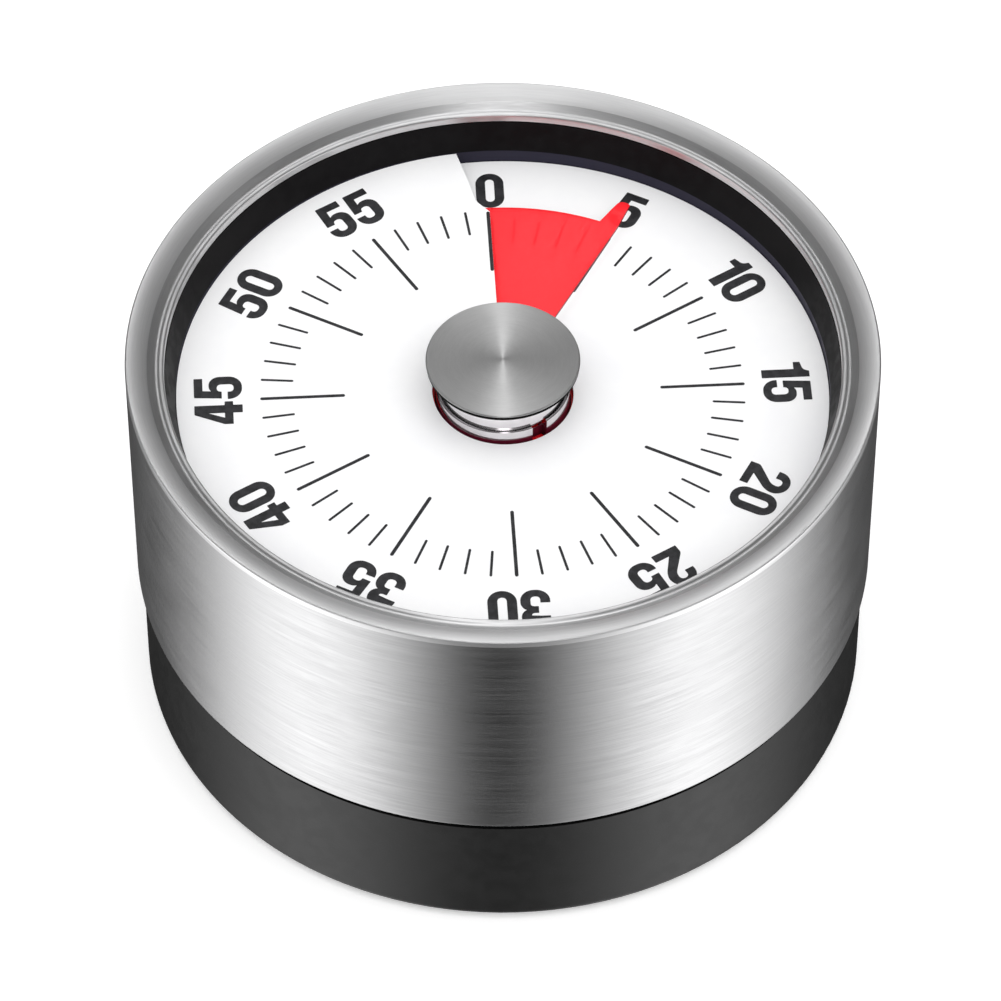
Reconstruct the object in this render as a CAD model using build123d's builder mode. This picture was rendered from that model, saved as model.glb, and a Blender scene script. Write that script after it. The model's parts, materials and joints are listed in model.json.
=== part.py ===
from build123d import *
import math
import os

# Mechanical 60-minute kitchen timer. Millimetres and degrees, +Z up, origin on the table under the centre.
# The dial's 0 mark lies towards +Y, and minutes run clockwise seen from above.
# The white dial is a ramp that climbs one step a turn, and the red disc climbs up through its cut.

# Case
case_radius = 39.0
case_height = 46.1
shell_wall = 0.6
shell_bottom = 16.5
shell_corner = 0.5
bezel_width = 4.0
bezel_drop = 1.3
bezel_bulge = 0.2
shell_fit = 0.2

# Base
base_inset = 0.55
base_wall = 1.8
base_floor = 2.5
base_edge = 1.0
foot_height = 0.5
shadow_gap = 0.6
shadow_depth = 1.0
spigot_height = 5.0
foot_inset = 1.85
foot_width = 1.8
foot_sunk = 1.0
sound_slot_radius = 20.5
sound_slot_length = 7.0
sound_slot_width = 1.8
sound_slot_count = 8

# Case screws
case_screw_inset = 3.8
case_screw_angles = (30, 150, 270)
case_screw_radius = 1.25
case_screw_length = 10.0
case_screw_head_radius = 2.3
case_screw_head_height = 1.8
tower_radius = 4.0
tower_web = 2.0
column_radius = 3.0
column_lift = 4.0
tower_gap = 0.1
screw_hole_clearance = 0.25

# Magnet
magnet_radius = 10.0
magnet_height = 2.6
cup_wall = 1.2
magnet_gap = 0.1
magnet_recess = 0.4
magnet_boss_wall = 1.6

# Dial and well
dial_step = 1.57
dial_depth = 4.09
dial_thickness = 0.5
dial_edge_gap = 0.1
dial_bore_gap = 0.25
flap_corner_inset = 1.4
flap_jog_gap = 0.3
flap_jog_angle = 3.0
flap_rim_angle = 6.4
well_wall_slope = 0.95
well_lip_gap = 0.05
well_floor = 1.2
well_floor_drop = 1.94
well_hole_gap = 2.0
ledge_width = 2.8
ledge_thickness = 0.9
ledge_gap = 0.05
core_wall = 1.4
core_groove_width = 1.2
core_groove_roof = 1.7

# Remaining-time disc
film_thickness = 0.3
film_radius = 26.4
film_bore_gap = 0.1
pointer_length = 3.6
pointer_sweep = 3.1
pointer_foot_sweep = 4.4
key_half_sweep = 6.0
key_depth = 0.7
key_clearance = 0.15
key_offsets = (60.0, 240.0)

# Knob
set_minutes = 5
cap_overhang = 1.25
cap_thickness = 0.6
cap_edge = 0.15
cap_rise = 0.15
skirt_inset = 0.25
skirt_neck_depth = 0.5
skirt_neck_height = 0.25
hub_radius = 7.0
hub_floor_gap = 0.3
hub_rise = 0.55
hub_skirt_gap = 0.05

# Arbor
arbor_radius = 1.6
arbor_collar_width = 1.0
arbor_stop_width = 1.6
arbor_top_cover = 0.8
pivot_radius = 0.5
pivot_clearance = 0.04
arbor_end_shake = 0.2
bush_wall = 1.2
bush_flange_width = 0.8
bush_flange_height = 0.5
bush_clearance = 0.05

# Movement plates
plate_radius = 27.0
plate_thickness = 0.8
movement_drop = 2.6
pillar_length = 13.8
pillar_inset = 2.4
pillar_angles = (38, 258, 318)
pillar_wheel_gap = 0.65
pillar_radius = 1.5
plate_screw_radius = 0.7
plate_screw_head_radius = 1.4
plate_screw_head_height = 0.7
plate_screw_length = 3.0
movement_screw_inset = 4.0
movement_screw_angles = (72, 210, 345)
movement_screw_radius = 0.9
movement_screw_head_radius = 1.8
movement_screw_head_height = 0.9
movement_screw_length = 2.6
movement_boss_radius = 2.4

# Going train: each wheel drives the pinion of the next arbor
main_module = 0.35
train_module = 0.30
pressure_angle = 25.0
tooth_addendum = 0.8
tooth_dedendum = 1.15
tooth_backlash = 0.16
pinion_leaves = 12
main_teeth = 72
second_teeth = 60
third_teeth = 48
fourth_teeth = 36
escape_teeth = 20
wheel_thickness = 0.6
main_wheel_thickness = 0.8
main_wheel_drop = 2.8
level_drop = 1.9
pinion_overhang = 0.4
train_arbor_radius = 0.7
second_arbor_angle = 200.0
third_arbor_circle = 17.5
fourth_arbor_circle = 18.0
escape_arbor_circle = 18.5
web_hub_radius = 2.6
web_rim_width = 1.6
spoke_count = 4
spoke_width = 1.3
escape_radius = 4.6
escape_root_radius = 3.6
clutch_spring_width = 4.0
clutch_spring_thickness = 0.2
clutch_height = 0.6

# Escapement
pallet_distance = 6.2
pallet_pin_radius = 0.3
pallet_pin_gap = 0.4
pallet_pin_angle = 40.0
lever_width = 1.2
lever_thickness = 0.6
lever_rise = 0.3
lever_fork_gap = 0.5
balance_distance = 13.7
balance_circle = 18.0
balance_radius = 6.0
balance_rim_width = 1.0
balance_thickness = 0.8
balance_rise = 7.6
roller_radius = 1.3
hairspring_radius = 3.6
hairspring_rise = 1.2
hairspring_height = 0.4
hairspring_strip = 0.12
hairspring_turns = 4

# Mainspring
mainspring_radius = 9.4
mainspring_strip = 0.3
mainspring_height = 4.0
mainspring_rise = 1.2
mainspring_turns = 5
spring_eye_gap = 0.2
anchor_radius = 0.8

# Stop and alarm
stop_overlap = 0.5
stop_arm_width = 0.8
stop_post_radius = 0.45
stop_post_circle = 16.2
stop_gap = 0.08
stop_lug_rise = 0.75
stop_lug_thickness = 0.6
stop_hub_width = 1.6
cam_radius = 6.0
cam_notch_depth = 1.4
cam_notch_half_sweep = 14.0
cam_thickness = 0.6
cam_rise = 0.15
release_pivot_circle = 20.5
release_pivot_angle = 340.0
release_nose_angle = 320.0
release_nose_gap = 0.2
release_width = 1.6
release_post_radius = 0.7
hammer_inset = 1.8
hammer_angle = 300.0
hammer_head_angle = 285.0
hammer_head_radius = 1.6
hammer_head_height = 2.4
hammer_arm_width = 1.4
hammer_arm_thickness = 0.7
hammer_arbor_radius = 0.8
hammer_rise = 1.0
hammer_strike_gap = 0.5
hammer_spring_wire = 0.3
hammer_spring_turns = 5
hammer_spring_rise = 1.7
bell_radius = 22.0
bell_wall = 1.0
bell_depth = 6.2
bell_drop = 2.8
bell_flat_radius = 7.0
bell_post_radius = 2.6
bell_screw_radius = 1.2
bell_screw_head_radius = 2.8
bell_screw_head_height = 1.2
bell_screw_length = 5.0

# Places worked out from the sizes above
set_angle = set_minutes * 6.0
lip_radius = case_radius - bezel_width
lip_height = case_height - bezel_drop
dial_high = lip_height - dial_depth
dial_low = dial_high - dial_step
film_gap = (dial_step - dial_thickness - film_thickness) / 2
shell_inner_radius = case_radius - shell_wall
crown_radius = case_radius - shell_corner
base_radius = case_radius - base_inset
base_top = shell_bottom - shadow_gap
foot_outer_radius = base_radius - foot_inset
foot_inner_radius = foot_outer_radius - foot_width
case_screw_circle = foot_inner_radius - case_screw_inset
column_bottom = shell_bottom + column_lift
well_radius = shell_inner_radius - shell_fit
well_top = lip_height - shell_wall - shell_fit / 2
well_top_radius = lip_radius - well_lip_gap
well_bore_radius = well_top_radius - well_wall_slope
well_floor_top = dial_low - well_floor_drop
well_floor_bottom = well_floor_top - well_floor
core_groove_outer = well_radius - core_wall
core_groove_inner = core_groove_outer - core_groove_width
core_groove_top = well_top - core_groove_roof
dial_radius = well_bore_radius - dial_edge_gap
ledge_inner_radius = well_bore_radius - ledge_width
film_bore_radius = hub_radius + film_bore_gap
dial_bore_radius = film_bore_radius + dial_bore_gap
key_inner_radius = hub_radius - key_depth
pointer_radius = film_radius + pointer_length
flap_corner_radius = film_radius - flap_corner_inset
flap_jog_radius = film_radius + flap_jog_gap
front_plate_top = well_floor_bottom - movement_drop
front_plate_bottom = front_plate_top - plate_thickness
back_plate_top = front_plate_bottom - pillar_length
back_plate_bottom = back_plate_top - plate_thickness
pillar_circle = plate_radius - pillar_inset
movement_screw_circle = plate_radius - movement_screw_inset
hammer_circle = plate_radius - hammer_inset
cap_top = lip_height + cap_rise
hub_top = dial_high + hub_rise
skirt_radius = hub_radius - skirt_inset
skirt_neck_radius = skirt_radius - skirt_neck_depth
skirt_bottom = hub_top + hub_skirt_gap
skirt_top = cap_top - cap_thickness
cap_radius = skirt_radius + cap_overhang
arbor_top = skirt_top - arbor_top_cover
arbor_collar_radius = arbor_radius + arbor_collar_width
arbor_stop_radius = arbor_radius + arbor_stop_width
bush_radius = arbor_radius + bush_wall
bush_flange_radius = bush_radius + bush_flange_width
well_hole_radius = arbor_radius + well_hole_gap
stop_hub_radius = arbor_radius + stop_hub_width
stop_reach = stop_post_circle + stop_overlap
clutch_spring_radius = arbor_radius + clutch_spring_width
main_wheel_bottom = front_plate_bottom - main_wheel_drop
balance_bottom = back_plate_top + balance_rise
hairspring_bottom = balance_bottom + balance_thickness + hairspring_rise
mainspring_bottom = back_plate_top + mainspring_rise
stop_lug_bottom = front_plate_top + stop_lug_rise
bell_crown = back_plate_bottom - bell_drop
bell_rim = bell_crown - bell_depth
hammer_bottom = bell_rim + hammer_rise
hammer_spring_bottom = back_plate_top + hammer_spring_rise
second_wheel_bottom = main_wheel_bottom - level_drop
third_wheel_bottom = second_wheel_bottom - level_drop
fourth_wheel_bottom = third_wheel_bottom - level_drop
escape_wheel_bottom = fourth_wheel_bottom - level_drop
main_wheel_top = main_wheel_bottom + main_wheel_thickness
arbor_stop_bottom = main_wheel_top + clutch_height
lever_bottom = escape_wheel_bottom + wheel_thickness + lever_rise

os.makedirs("parts", exist_ok=True)


def polar(radius, angle):
    """A point at an angle measured anticlockwise from +X."""
    return (radius * math.cos(math.radians(angle)), radius * math.sin(math.radians(angle)))


def clock(radius, angle):
    """A point at a dial angle, measured clockwise from +Y."""
    return polar(radius, 90 - angle)


def next_centre(centre, distance, circle, turn):
    """The point on a circle about the origin that lies a distance from centre, turned one way (-1 or 1)."""
    reach = math.hypot(*centre)
    cosine = (reach**2 + circle**2 - distance**2) / (2 * reach * circle)
    return polar(circle, bearing((0, 0), centre) + turn * math.degrees(math.acos(cosine)))


def bearing(start, end):
    """The direction from start to end, anticlockwise from +X."""
    return math.degrees(math.atan2(end[1] - start[1], end[0] - start[0]))


def turn(*outline, centre=(0, 0), mode=Mode.ADD):
    """Turns an outline of (radius, height) points about the upright axis through centre."""
    profile_plane = Plane(origin=(*centre, 0), x_dir=(1, 0, 0), z_dir=(0, -1, 0))
    with BuildSketch(profile_plane) as profile:
        with BuildLine():
            Polyline(*outline, close=True)
        make_face()
    revolve(profile.sketch, axis=Axis((*centre, 0), (0, 0, 1)), mode=mode)


def rod(radius, bottom, top, centre=(0, 0), mode=Mode.ADD):
    """An upright cylinder between two heights."""
    with Locations((*centre, bottom)):
        Cylinder(radius, top - bottom, align=(Align.CENTER, Align.CENTER, Align.MIN), mode=mode)


def hole(radius, bottom, top, centre=(0, 0)):
    """A round upright hole between two heights."""
    rod(radius, bottom, top, centre, Mode.SUBTRACT)


def prism(outline, bottom, top, mode=Mode.ADD):
    """An upright prism on a closed outline of points."""
    with BuildSketch(Plane.XY.offset(bottom)) as base_face:
        with BuildLine():
            Polyline(*outline, close=True)
        make_face()
    extrude(base_face.sketch, amount=top - bottom, mode=mode)


def bar(start, end, width, bottom, top, mode=Mode.ADD):
    """A flat bar with round ends from one point to another."""
    middle = ((start[0] + end[0]) / 2, (start[1] + end[1]) / 2)
    length = math.hypot(end[0] - start[0], end[1] - start[1])
    with BuildSketch(Plane.XY.offset(bottom)) as face:
        with Locations(middle):
            SlotCenterToCenter(length, width, rotation=bearing(start, end))
    extrude(face.sketch, amount=top - bottom, mode=mode)


def helicoid(inner, outer, start, end, top, thickness, mode=Mode.ADD):
    """A ramp plate from one dial angle to another. Its top is at height top on the 0 mark."""
    start_height = top + dial_step * start / 360
    with BuildLine(Plane.XY.offset(start_height)) as path:
        Helix(dial_step, dial_step * (end - start) / 360, (inner + outer) / 2, lefthand=True)
    with BuildSketch(Plane.XZ.rotated((0, 0, 90 - start))) as section:
        with Locations(((inner + outer) / 2, start_height - thickness / 2)):
            Rectangle(outer - inner, thickness)
    turned_path = path.line.rotate(Axis.Z, 90 - start)
    sweep(section.sketch, path=turned_path, is_frenet=True, mode=mode)


def gear_outline(teeth, module, phase, centre):
    """Closed outline of an involute gear with a tooth centred on the direction phase."""
    pitch = teeth * module / 2
    base = pitch * math.cos(math.radians(pressure_angle))
    root = pitch - tooth_dedendum * module
    tip = pitch + tooth_addendum * module
    half_tooth = math.pi / (2 * teeth) - tooth_backlash * module / (2 * pitch)
    flank = []
    for radius in (root, pitch, tip):
        at_radius = math.acos(min(1, base / radius))
        at_pitch = math.radians(pressure_angle)
        involute = (math.tan(at_pitch) - at_pitch) - (math.tan(at_radius) - at_radius)
        flank.append((radius, math.degrees(half_tooth + involute)))
    outline = []
    for tooth in range(teeth):
        middle = phase + tooth * 360 / teeth
        rising = [polar(radius, middle - half) for radius, half in flank]
        falling = [polar(radius, middle + half) for radius, half in reversed(flank)]
        outline += [(centre[0] + x, centre[1] + y) for x, y in rising + falling]
    return outline


def arbor(centre):
    """A train arbor between the plates, with a pivot in each."""
    rod(train_arbor_radius, back_plate_top + arbor_end_shake, front_plate_bottom - arbor_end_shake, centre)
    rod(pivot_radius, back_plate_bottom, front_plate_top, centre)


def spoke_windows(rim_radius, bottom, top, centre):
    """Cuts the windows that leave a wheel's spokes between its hub and its rim."""
    outer = rim_radius - web_rim_width
    with BuildSketch(Plane.XY.offset(bottom)) as windows:
        with Locations(centre):
            Circle(outer)
            Circle(web_hub_radius, mode=Mode.SUBTRACT)
            for spoke in range(spoke_count // 2):
                angle = spoke * 360 / spoke_count
                Rectangle(2 * outer, spoke_width, rotation=angle, mode=Mode.SUBTRACT)
    extrude(windows.sketch, amount=top - bottom, mode=Mode.SUBTRACT)


def spiral_strip(inner, outer, turns, strip, bottom, height, centre):
    """A flat spiral spring between two radii, standing on edge."""
    steps = 12 * turns
    rate = (outer - inner) / steps
    middle_line = [polar(inner + rate * step, step * 30) for step in range(steps + 1)]
    path_points = [(centre[0] + x, centre[1] + y) for x, y in middle_line]
    with BuildLine(Plane.XY.offset(bottom + height / 2)) as path:
        Spline(*path_points)
    start = path.line @ 0
    with BuildSketch(Plane(start, x_dir=(0, 0, 1), z_dir=path.line % 0)) as section:
        Rectangle(height, strip)
    sweep(section.sketch, path=path.line)


# Arbor centres of the going train and the escapement
main_centre = (0, 0)
second_centre = polar(main_module * (main_teeth + pinion_leaves) / 2, second_arbor_angle)
third_centre = next_centre(
    second_centre, train_module * (second_teeth + pinion_leaves) / 2, third_arbor_circle, -1
)
fourth_centre = next_centre(
    third_centre, train_module * (third_teeth + pinion_leaves) / 2, fourth_arbor_circle, -1
)
escape_centre = next_centre(
    fourth_centre, train_module * (fourth_teeth + pinion_leaves) / 2, escape_arbor_circle, -1
)
balance_centre = next_centre(escape_centre, balance_distance, balance_circle, -1)
escape_to_balance = bearing(escape_centre, balance_centre)
pallet_offset = polar(pallet_distance, escape_to_balance)
pallet_centre = (escape_centre[0] + pallet_offset[0], escape_centre[1] + pallet_offset[1])
hammer_centre = polar(hammer_circle, hammer_angle)
second_wheel_reach = train_module * (second_teeth / 2 + tooth_addendum)
pillar_reach = second_wheel_reach + pillar_wheel_gap + pillar_radius
pillar_centres = [polar(pillar_circle, angle) for angle in pillar_angles]
pillar_centres.append(next_centre(second_centre, pillar_reach, pillar_circle, -1))
release_centre = clock(release_pivot_circle, release_pivot_angle)
train_centres = (second_centre, third_centre, fourth_centre, escape_centre, pallet_centre, balance_centre)


# Steel shell: one drawn cup, its face domed and turned in to a plain lip
bezel_middle = (lip_radius + crown_radius) / 2
bezel_mid_height = (lip_height + case_height) / 2 + bezel_bulge
with BuildPart() as steel_shell:
    with BuildSketch(Plane.XZ):
        with BuildLine():
            Line((case_radius, shell_bottom), (case_radius, case_height - shell_corner))
            RadiusArc(
                (case_radius, case_height - shell_corner), (crown_radius, case_height), -shell_corner
            )
            ThreePointArc(
                (crown_radius, case_height), (bezel_middle, bezel_mid_height), (lip_radius, lip_height)
            )
            Line((lip_radius, lip_height), (lip_radius, lip_height - shell_wall))
            ThreePointArc(
                (lip_radius, lip_height - shell_wall),
                (bezel_middle, bezel_mid_height - shell_wall),
                (crown_radius - shell_wall / 2, case_height - shell_wall),
            )
            Line(
                (crown_radius - shell_wall / 2, case_height - shell_wall),
                (shell_inner_radius, case_height - shell_corner - shell_wall / 2),
            )
            Line(
                (shell_inner_radius, case_height - shell_corner - shell_wall / 2),
                (shell_inner_radius, shell_bottom),
            )
            Line((shell_inner_radius, shell_bottom), (case_radius, shell_bottom))
        make_face()
    revolve(axis=Axis.Z)
steel_shell.part.label = "steel_shell"
export_step(steel_shell.part, "parts/steel_shell.step")

# Dial well: black ring with the sloping wall round the dial, a floor, and the ledge that the dial lies on
with BuildPart() as dial_well:
    turn(
        (well_hole_radius, well_floor_bottom),
        (well_radius, well_floor_bottom),
        (well_radius, well_top),
        (well_top_radius, well_top),
        (well_bore_radius, dial_high),
        (well_bore_radius, well_floor_top),
        (well_hole_radius, well_floor_top),
    )
    turn(
        (core_groove_inner, well_floor_bottom),
        (core_groove_outer, well_floor_bottom),
        (core_groove_outer, core_groove_top),
        (core_groove_inner, core_groove_top),
        mode=Mode.SUBTRACT,
    )
    helicoid(
        ledge_inner_radius,
        well_bore_radius + shell_fit,
        -flap_rim_angle,
        360 - flap_rim_angle,
        dial_low - dial_thickness - ledge_gap,
        ledge_thickness,
    )
    for angle in case_screw_angles:
        column = polar(case_screw_circle, angle)
        rod(column_radius, column_bottom, well_floor_bottom, column)
        hole(case_screw_radius, column_bottom, well_floor_bottom, column)
    for angle in movement_screw_angles:
        boss = polar(movement_screw_circle, angle)
        rod(movement_boss_radius, front_plate_top, well_floor_bottom, boss)
        hole(movement_screw_radius, front_plate_top, well_floor_bottom, boss)
dial_well.part.label = "dial_well"
export_step(dial_well.part, "parts/dial_well.step")

# Dial plate: the ramp, cut from its bore to its rim. The cut steps back outside the disc for the pointer.
low_end_outline = [
    (0, 0),
    clock(flap_corner_radius, 0),
    clock(flap_jog_radius, -flap_jog_angle),
    clock(case_radius, -flap_rim_angle),
    clock(case_radius, 20),
]
with BuildPart() as low_end:
    helicoid(dial_bore_radius, dial_radius, -10, 3, dial_low, dial_thickness)
    prism(low_end_outline, 0, case_height, Mode.INTERSECT)
with BuildPart() as high_end:
    helicoid(dial_bore_radius, dial_radius, 350, 363, dial_low, dial_thickness)
    prism(low_end_outline, 0, case_height, Mode.SUBTRACT)
with BuildPart() as dial_plate:
    helicoid(dial_bore_radius, dial_radius, 3, 350, dial_low, dial_thickness)
    add(low_end.part)
    add(high_end.part)
dial_plate.part.label = "dial_plate"
export_step(dial_plate.part, "parts/dial_plate.step")

# Remaining-time disc: a red film on the same ramp, with a pointer at its leading edge and two bore keys
film_top = dial_low + film_gap + film_thickness
pointer_outline = [
    clock(film_radius - 1, set_angle),
    clock(pointer_radius, set_angle),
    clock(pointer_radius, set_angle - pointer_sweep),
    clock(film_radius - film_thickness, set_angle - pointer_foot_sweep),
]
with BuildPart() as pointer_tab:
    helicoid(
        film_radius - 1, pointer_radius, set_angle - pointer_foot_sweep, set_angle, film_top, film_thickness
    )
    prism(pointer_outline, 0, case_height, Mode.INTERSECT)
with BuildPart() as time_disc:
    helicoid(film_bore_radius, film_radius, set_angle - 360, set_angle, film_top, film_thickness)
    add(pointer_tab.part)
    for offset in key_offsets:
        key_angle = set_angle - offset
        helicoid(
            key_inner_radius,
            film_bore_radius + film_gap,
            key_angle - key_half_sweep,
            key_angle + key_half_sweep,
            film_top,
            film_thickness,
        )
time_disc.part.label = "time_disc"
export_step(time_disc.part, "parts/time_disc.step")

# Disc hub: red collar under the knob, with keyways that the disc climbs along
keyway_width = 2 * (hub_radius * math.sin(math.radians(key_half_sweep)) + key_clearance)
keyway_depth = hub_radius - key_inner_radius + key_clearance
with BuildPart() as disc_hub:
    rod(hub_radius, well_floor_top + hub_floor_gap, hub_top)
    hole(arbor_radius, well_floor_top + hub_floor_gap, hub_top)
    for offset in key_offsets:
        keyway_angle = 90 - (set_angle - offset)
        keyway_middle = polar(hub_radius - keyway_depth / 2 + key_clearance, keyway_angle)
        with BuildSketch(Plane.XY.offset(well_floor_top + hub_floor_gap)):
            with Locations(keyway_middle):
                Rectangle(keyway_depth + 2 * key_clearance, keyway_width, rotation=keyway_angle)
        extrude(amount=hub_top, mode=Mode.SUBTRACT)
disc_hub.part.label = "disc_hub"
export_step(disc_hub.part, "parts/disc_hub.step")

# Knob skirt: polished collar with a narrow neck under the cap
with BuildPart() as knob_skirt:
    turn(
        (0, skirt_bottom),
        (skirt_radius, skirt_bottom),
        (skirt_radius, skirt_top - skirt_neck_height),
        (skirt_neck_radius, skirt_top - skirt_neck_height),
        (skirt_neck_radius, skirt_top),
        (0, skirt_top),
    )
    hole(arbor_radius, skirt_bottom, arbor_top)
knob_skirt.part.label = "knob_skirt"
export_step(knob_skirt.part, "parts/knob_skirt.step")

# Knob cap: thin brushed disc that overhangs the skirt
with BuildPart() as knob_cap:
    rod(cap_radius, skirt_top, cap_top)
    chamfer(knob_cap.edges().filter_by(GeomType.CIRCLE).sort_by(Axis.Z)[-1], cap_edge)
knob_cap.part.label = "knob_cap"
export_step(knob_cap.part, "parts/knob_cap.step")

# Base: moulded cup with a shadow groove, a spigot inside the shell, screw towers and a magnet pocket
magnet_cup_radius = magnet_radius + magnet_gap + cup_wall
magnet_cup_height = magnet_height + magnet_gap + cup_wall
magnet_cup_bottom = foot_height + magnet_recess
magnet_cup_top = magnet_cup_bottom + magnet_cup_height
magnet_pocket_radius = magnet_cup_radius + magnet_gap
floor_top = foot_height + base_floor
cavity_radius = base_radius - shadow_depth - base_wall
with BuildPart() as base:
    rod(base_radius, foot_height, base_top)
    fillet(base.edges().filter_by(GeomType.CIRCLE).sort_by(Axis.Z)[0], base_edge)
    rod(base_radius - shadow_depth, base_top, shell_bottom + shadow_gap)
    rod(shell_inner_radius - shell_fit, shell_bottom + shadow_gap, shell_bottom + spigot_height)
    hole(cavity_radius, floor_top, case_height)
    rod(magnet_pocket_radius + magnet_boss_wall, foot_height, magnet_cup_top + magnet_boss_wall)
    hole(magnet_pocket_radius, foot_height, magnet_cup_top)
    for angle in case_screw_angles:
        tower = polar(case_screw_circle, angle)
        tower_top = column_bottom - tower_gap
        rod(tower_radius, floor_top, tower_top, tower)
        hole(case_screw_head_radius + screw_hole_clearance, foot_height, tower_top - tower_web, tower)
        hole(case_screw_radius + screw_hole_clearance, foot_height, tower_top, tower)
    with BuildSketch(Plane.XY.offset(foot_height)):
        Circle(foot_outer_radius)
        Circle(foot_inner_radius, mode=Mode.SUBTRACT)
    extrude(amount=foot_sunk, mode=Mode.SUBTRACT)
    with BuildSketch(Plane.XY.offset(foot_height)):
        with PolarLocations(sound_slot_radius, sound_slot_count):
            SlotOverall(sound_slot_length, sound_slot_width, rotation=90)
    extrude(amount=base_floor, mode=Mode.SUBTRACT)
base.part.label = "base"
export_step(base.part, "parts/base.step")

# Foot ring: rubber ring let into the underside
with BuildPart() as foot_ring:
    with BuildSketch():
        Circle(foot_outer_radius)
        Circle(foot_inner_radius, mode=Mode.SUBTRACT)
    extrude(amount=foot_height + foot_sunk)
foot_ring.part.label = "foot_ring"
export_step(foot_ring.part, "parts/foot_ring.step")

# Magnet cup: pressed steel cup that opens downwards
with BuildPart() as magnet_cup:
    rod(magnet_cup_radius, magnet_cup_bottom, magnet_cup_top)
    hole(magnet_radius + magnet_gap, magnet_cup_bottom, magnet_cup_top - cup_wall)
magnet_cup.part.label = "magnet_cup"
export_step(magnet_cup.part, "parts/magnet_cup.step")

# Magnet: ferrite disc against the cup's floor
with BuildPart() as magnet:
    rod(magnet_radius, magnet_cup_top - cup_wall - magnet_height, magnet_cup_top - cup_wall)
magnet.part.label = "magnet"
export_step(magnet.part, "parts/magnet.step")

# Case screws: up through the towers of the base into the columns of the dial well
screw_head_top = column_bottom - tower_gap - tower_web
with BuildPart() as case_screws:
    for angle in case_screw_angles:
        place = polar(case_screw_circle, angle)
        rod(case_screw_head_radius, screw_head_top - case_screw_head_height, screw_head_top, place)
        rod(case_screw_radius, screw_head_top, screw_head_top + case_screw_length, place)
case_screws.part.label = "case_screws"
export_step(case_screws.part, "parts/case_screws.step")

# Movement plates, drilled for every arbor
with BuildPart() as front_plate:
    rod(plate_radius, front_plate_bottom, front_plate_top)
    hole(bush_radius, front_plate_bottom, front_plate_top)
    for centre in train_centres:
        hole(pivot_radius + pivot_clearance, front_plate_bottom, front_plate_top, centre)
    hole(hammer_arbor_radius + pivot_clearance, front_plate_bottom, front_plate_top, hammer_centre)
    for angle in movement_screw_angles:
        place = polar(movement_screw_circle, angle)
        hole(movement_screw_radius + pivot_clearance, front_plate_bottom, front_plate_top, place)
    for place in pillar_centres:
        hole(plate_screw_radius + pivot_clearance, front_plate_bottom, front_plate_top, place)
front_plate.part.label = "front_plate"
export_step(front_plate.part, "parts/front_plate.step")

with BuildPart() as back_plate:
    rod(plate_radius, back_plate_bottom, back_plate_top)
    for centre in (main_centre, *train_centres):
        hole(pivot_radius + pivot_clearance, back_plate_bottom, back_plate_top, centre)
    hole(hammer_arbor_radius + pivot_clearance, back_plate_bottom, back_plate_top, hammer_centre)
    for place in pillar_centres:
        hole(plate_screw_radius + pivot_clearance, back_plate_bottom, back_plate_top, place)
back_plate.part.label = "back_plate"
export_step(back_plate.part, "parts/back_plate.step")

# Plate pillars, tapped at both ends
with BuildPart() as plate_pillars:
    for place in pillar_centres:
        rod(pillar_radius, back_plate_top, front_plate_bottom, place)
        hole(plate_screw_radius, back_plate_top, back_plate_top + plate_screw_length, place)
        hole(plate_screw_radius, front_plate_bottom - plate_screw_length, front_plate_bottom, place)
plate_pillars.part.label = "plate_pillars"
export_step(plate_pillars.part, "parts/plate_pillars.step")

# Plate screws: one at each end of each pillar
with BuildPart() as plate_screws:
    for place in pillar_centres:
        rod(plate_screw_radius, front_plate_bottom - plate_screw_length / 2, front_plate_top, place)
        rod(plate_screw_head_radius, front_plate_top, front_plate_top + plate_screw_head_height, place)
        rod(plate_screw_radius, back_plate_bottom, back_plate_top + plate_screw_length / 2, place)
        rod(plate_screw_head_radius, back_plate_bottom - plate_screw_head_height, back_plate_bottom, place)
plate_screws.part.label = "plate_screws"
export_step(plate_screws.part, "parts/plate_screws.step")

# Movement screws: from inside the movement up into the bosses of the dial well
with BuildPart() as movement_screws:
    for angle in movement_screw_angles:
        place = polar(movement_screw_circle, angle)
        head_bottom = front_plate_bottom - movement_screw_head_height
        rod(movement_screw_head_radius, head_bottom, front_plate_bottom, place)
        rod(movement_screw_radius, front_plate_bottom, front_plate_top + movement_screw_length / 2, place)
movement_screws.part.label = "movement_screws"
export_step(movement_screws.part, "parts/movement_screws.step")

# Arbor bush: brass bearing of the main arbor in the front plate
with BuildPart() as arbor_bush:
    rod(bush_radius, front_plate_bottom, front_plate_top)
    rod(bush_flange_radius, front_plate_top, front_plate_top + bush_flange_height)
    hole(arbor_radius + bush_clearance, 0, case_height)
arbor_bush.part.label = "arbor_bush"
export_step(arbor_bush.part, "parts/arbor_bush.step")

# Main arbor: knob spindle, with the seat of the main wheel and the core of the mainspring
with BuildPart() as main_arbor:
    rod(pivot_radius, back_plate_bottom, back_plate_top + arbor_end_shake)
    rod(arbor_collar_radius, back_plate_top + arbor_end_shake, main_wheel_bottom)
    rod(arbor_radius, main_wheel_bottom, arbor_top)
    rod(arbor_stop_radius, arbor_stop_bottom, front_plate_bottom - arbor_end_shake)
main_arbor.part.label = "main_arbor"
export_step(main_arbor.part, "parts/main_arbor.step")

# Main wheel
with BuildPart() as main_wheel:
    prism(
        gear_outline(main_teeth, main_module, second_arbor_angle, main_centre),
        main_wheel_bottom,
        main_wheel_top,
    )
    hole(arbor_radius, main_wheel_bottom, main_wheel_top)
main_wheel.part.label = "main_wheel"
export_step(main_wheel.part, "parts/main_wheel.step")

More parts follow.
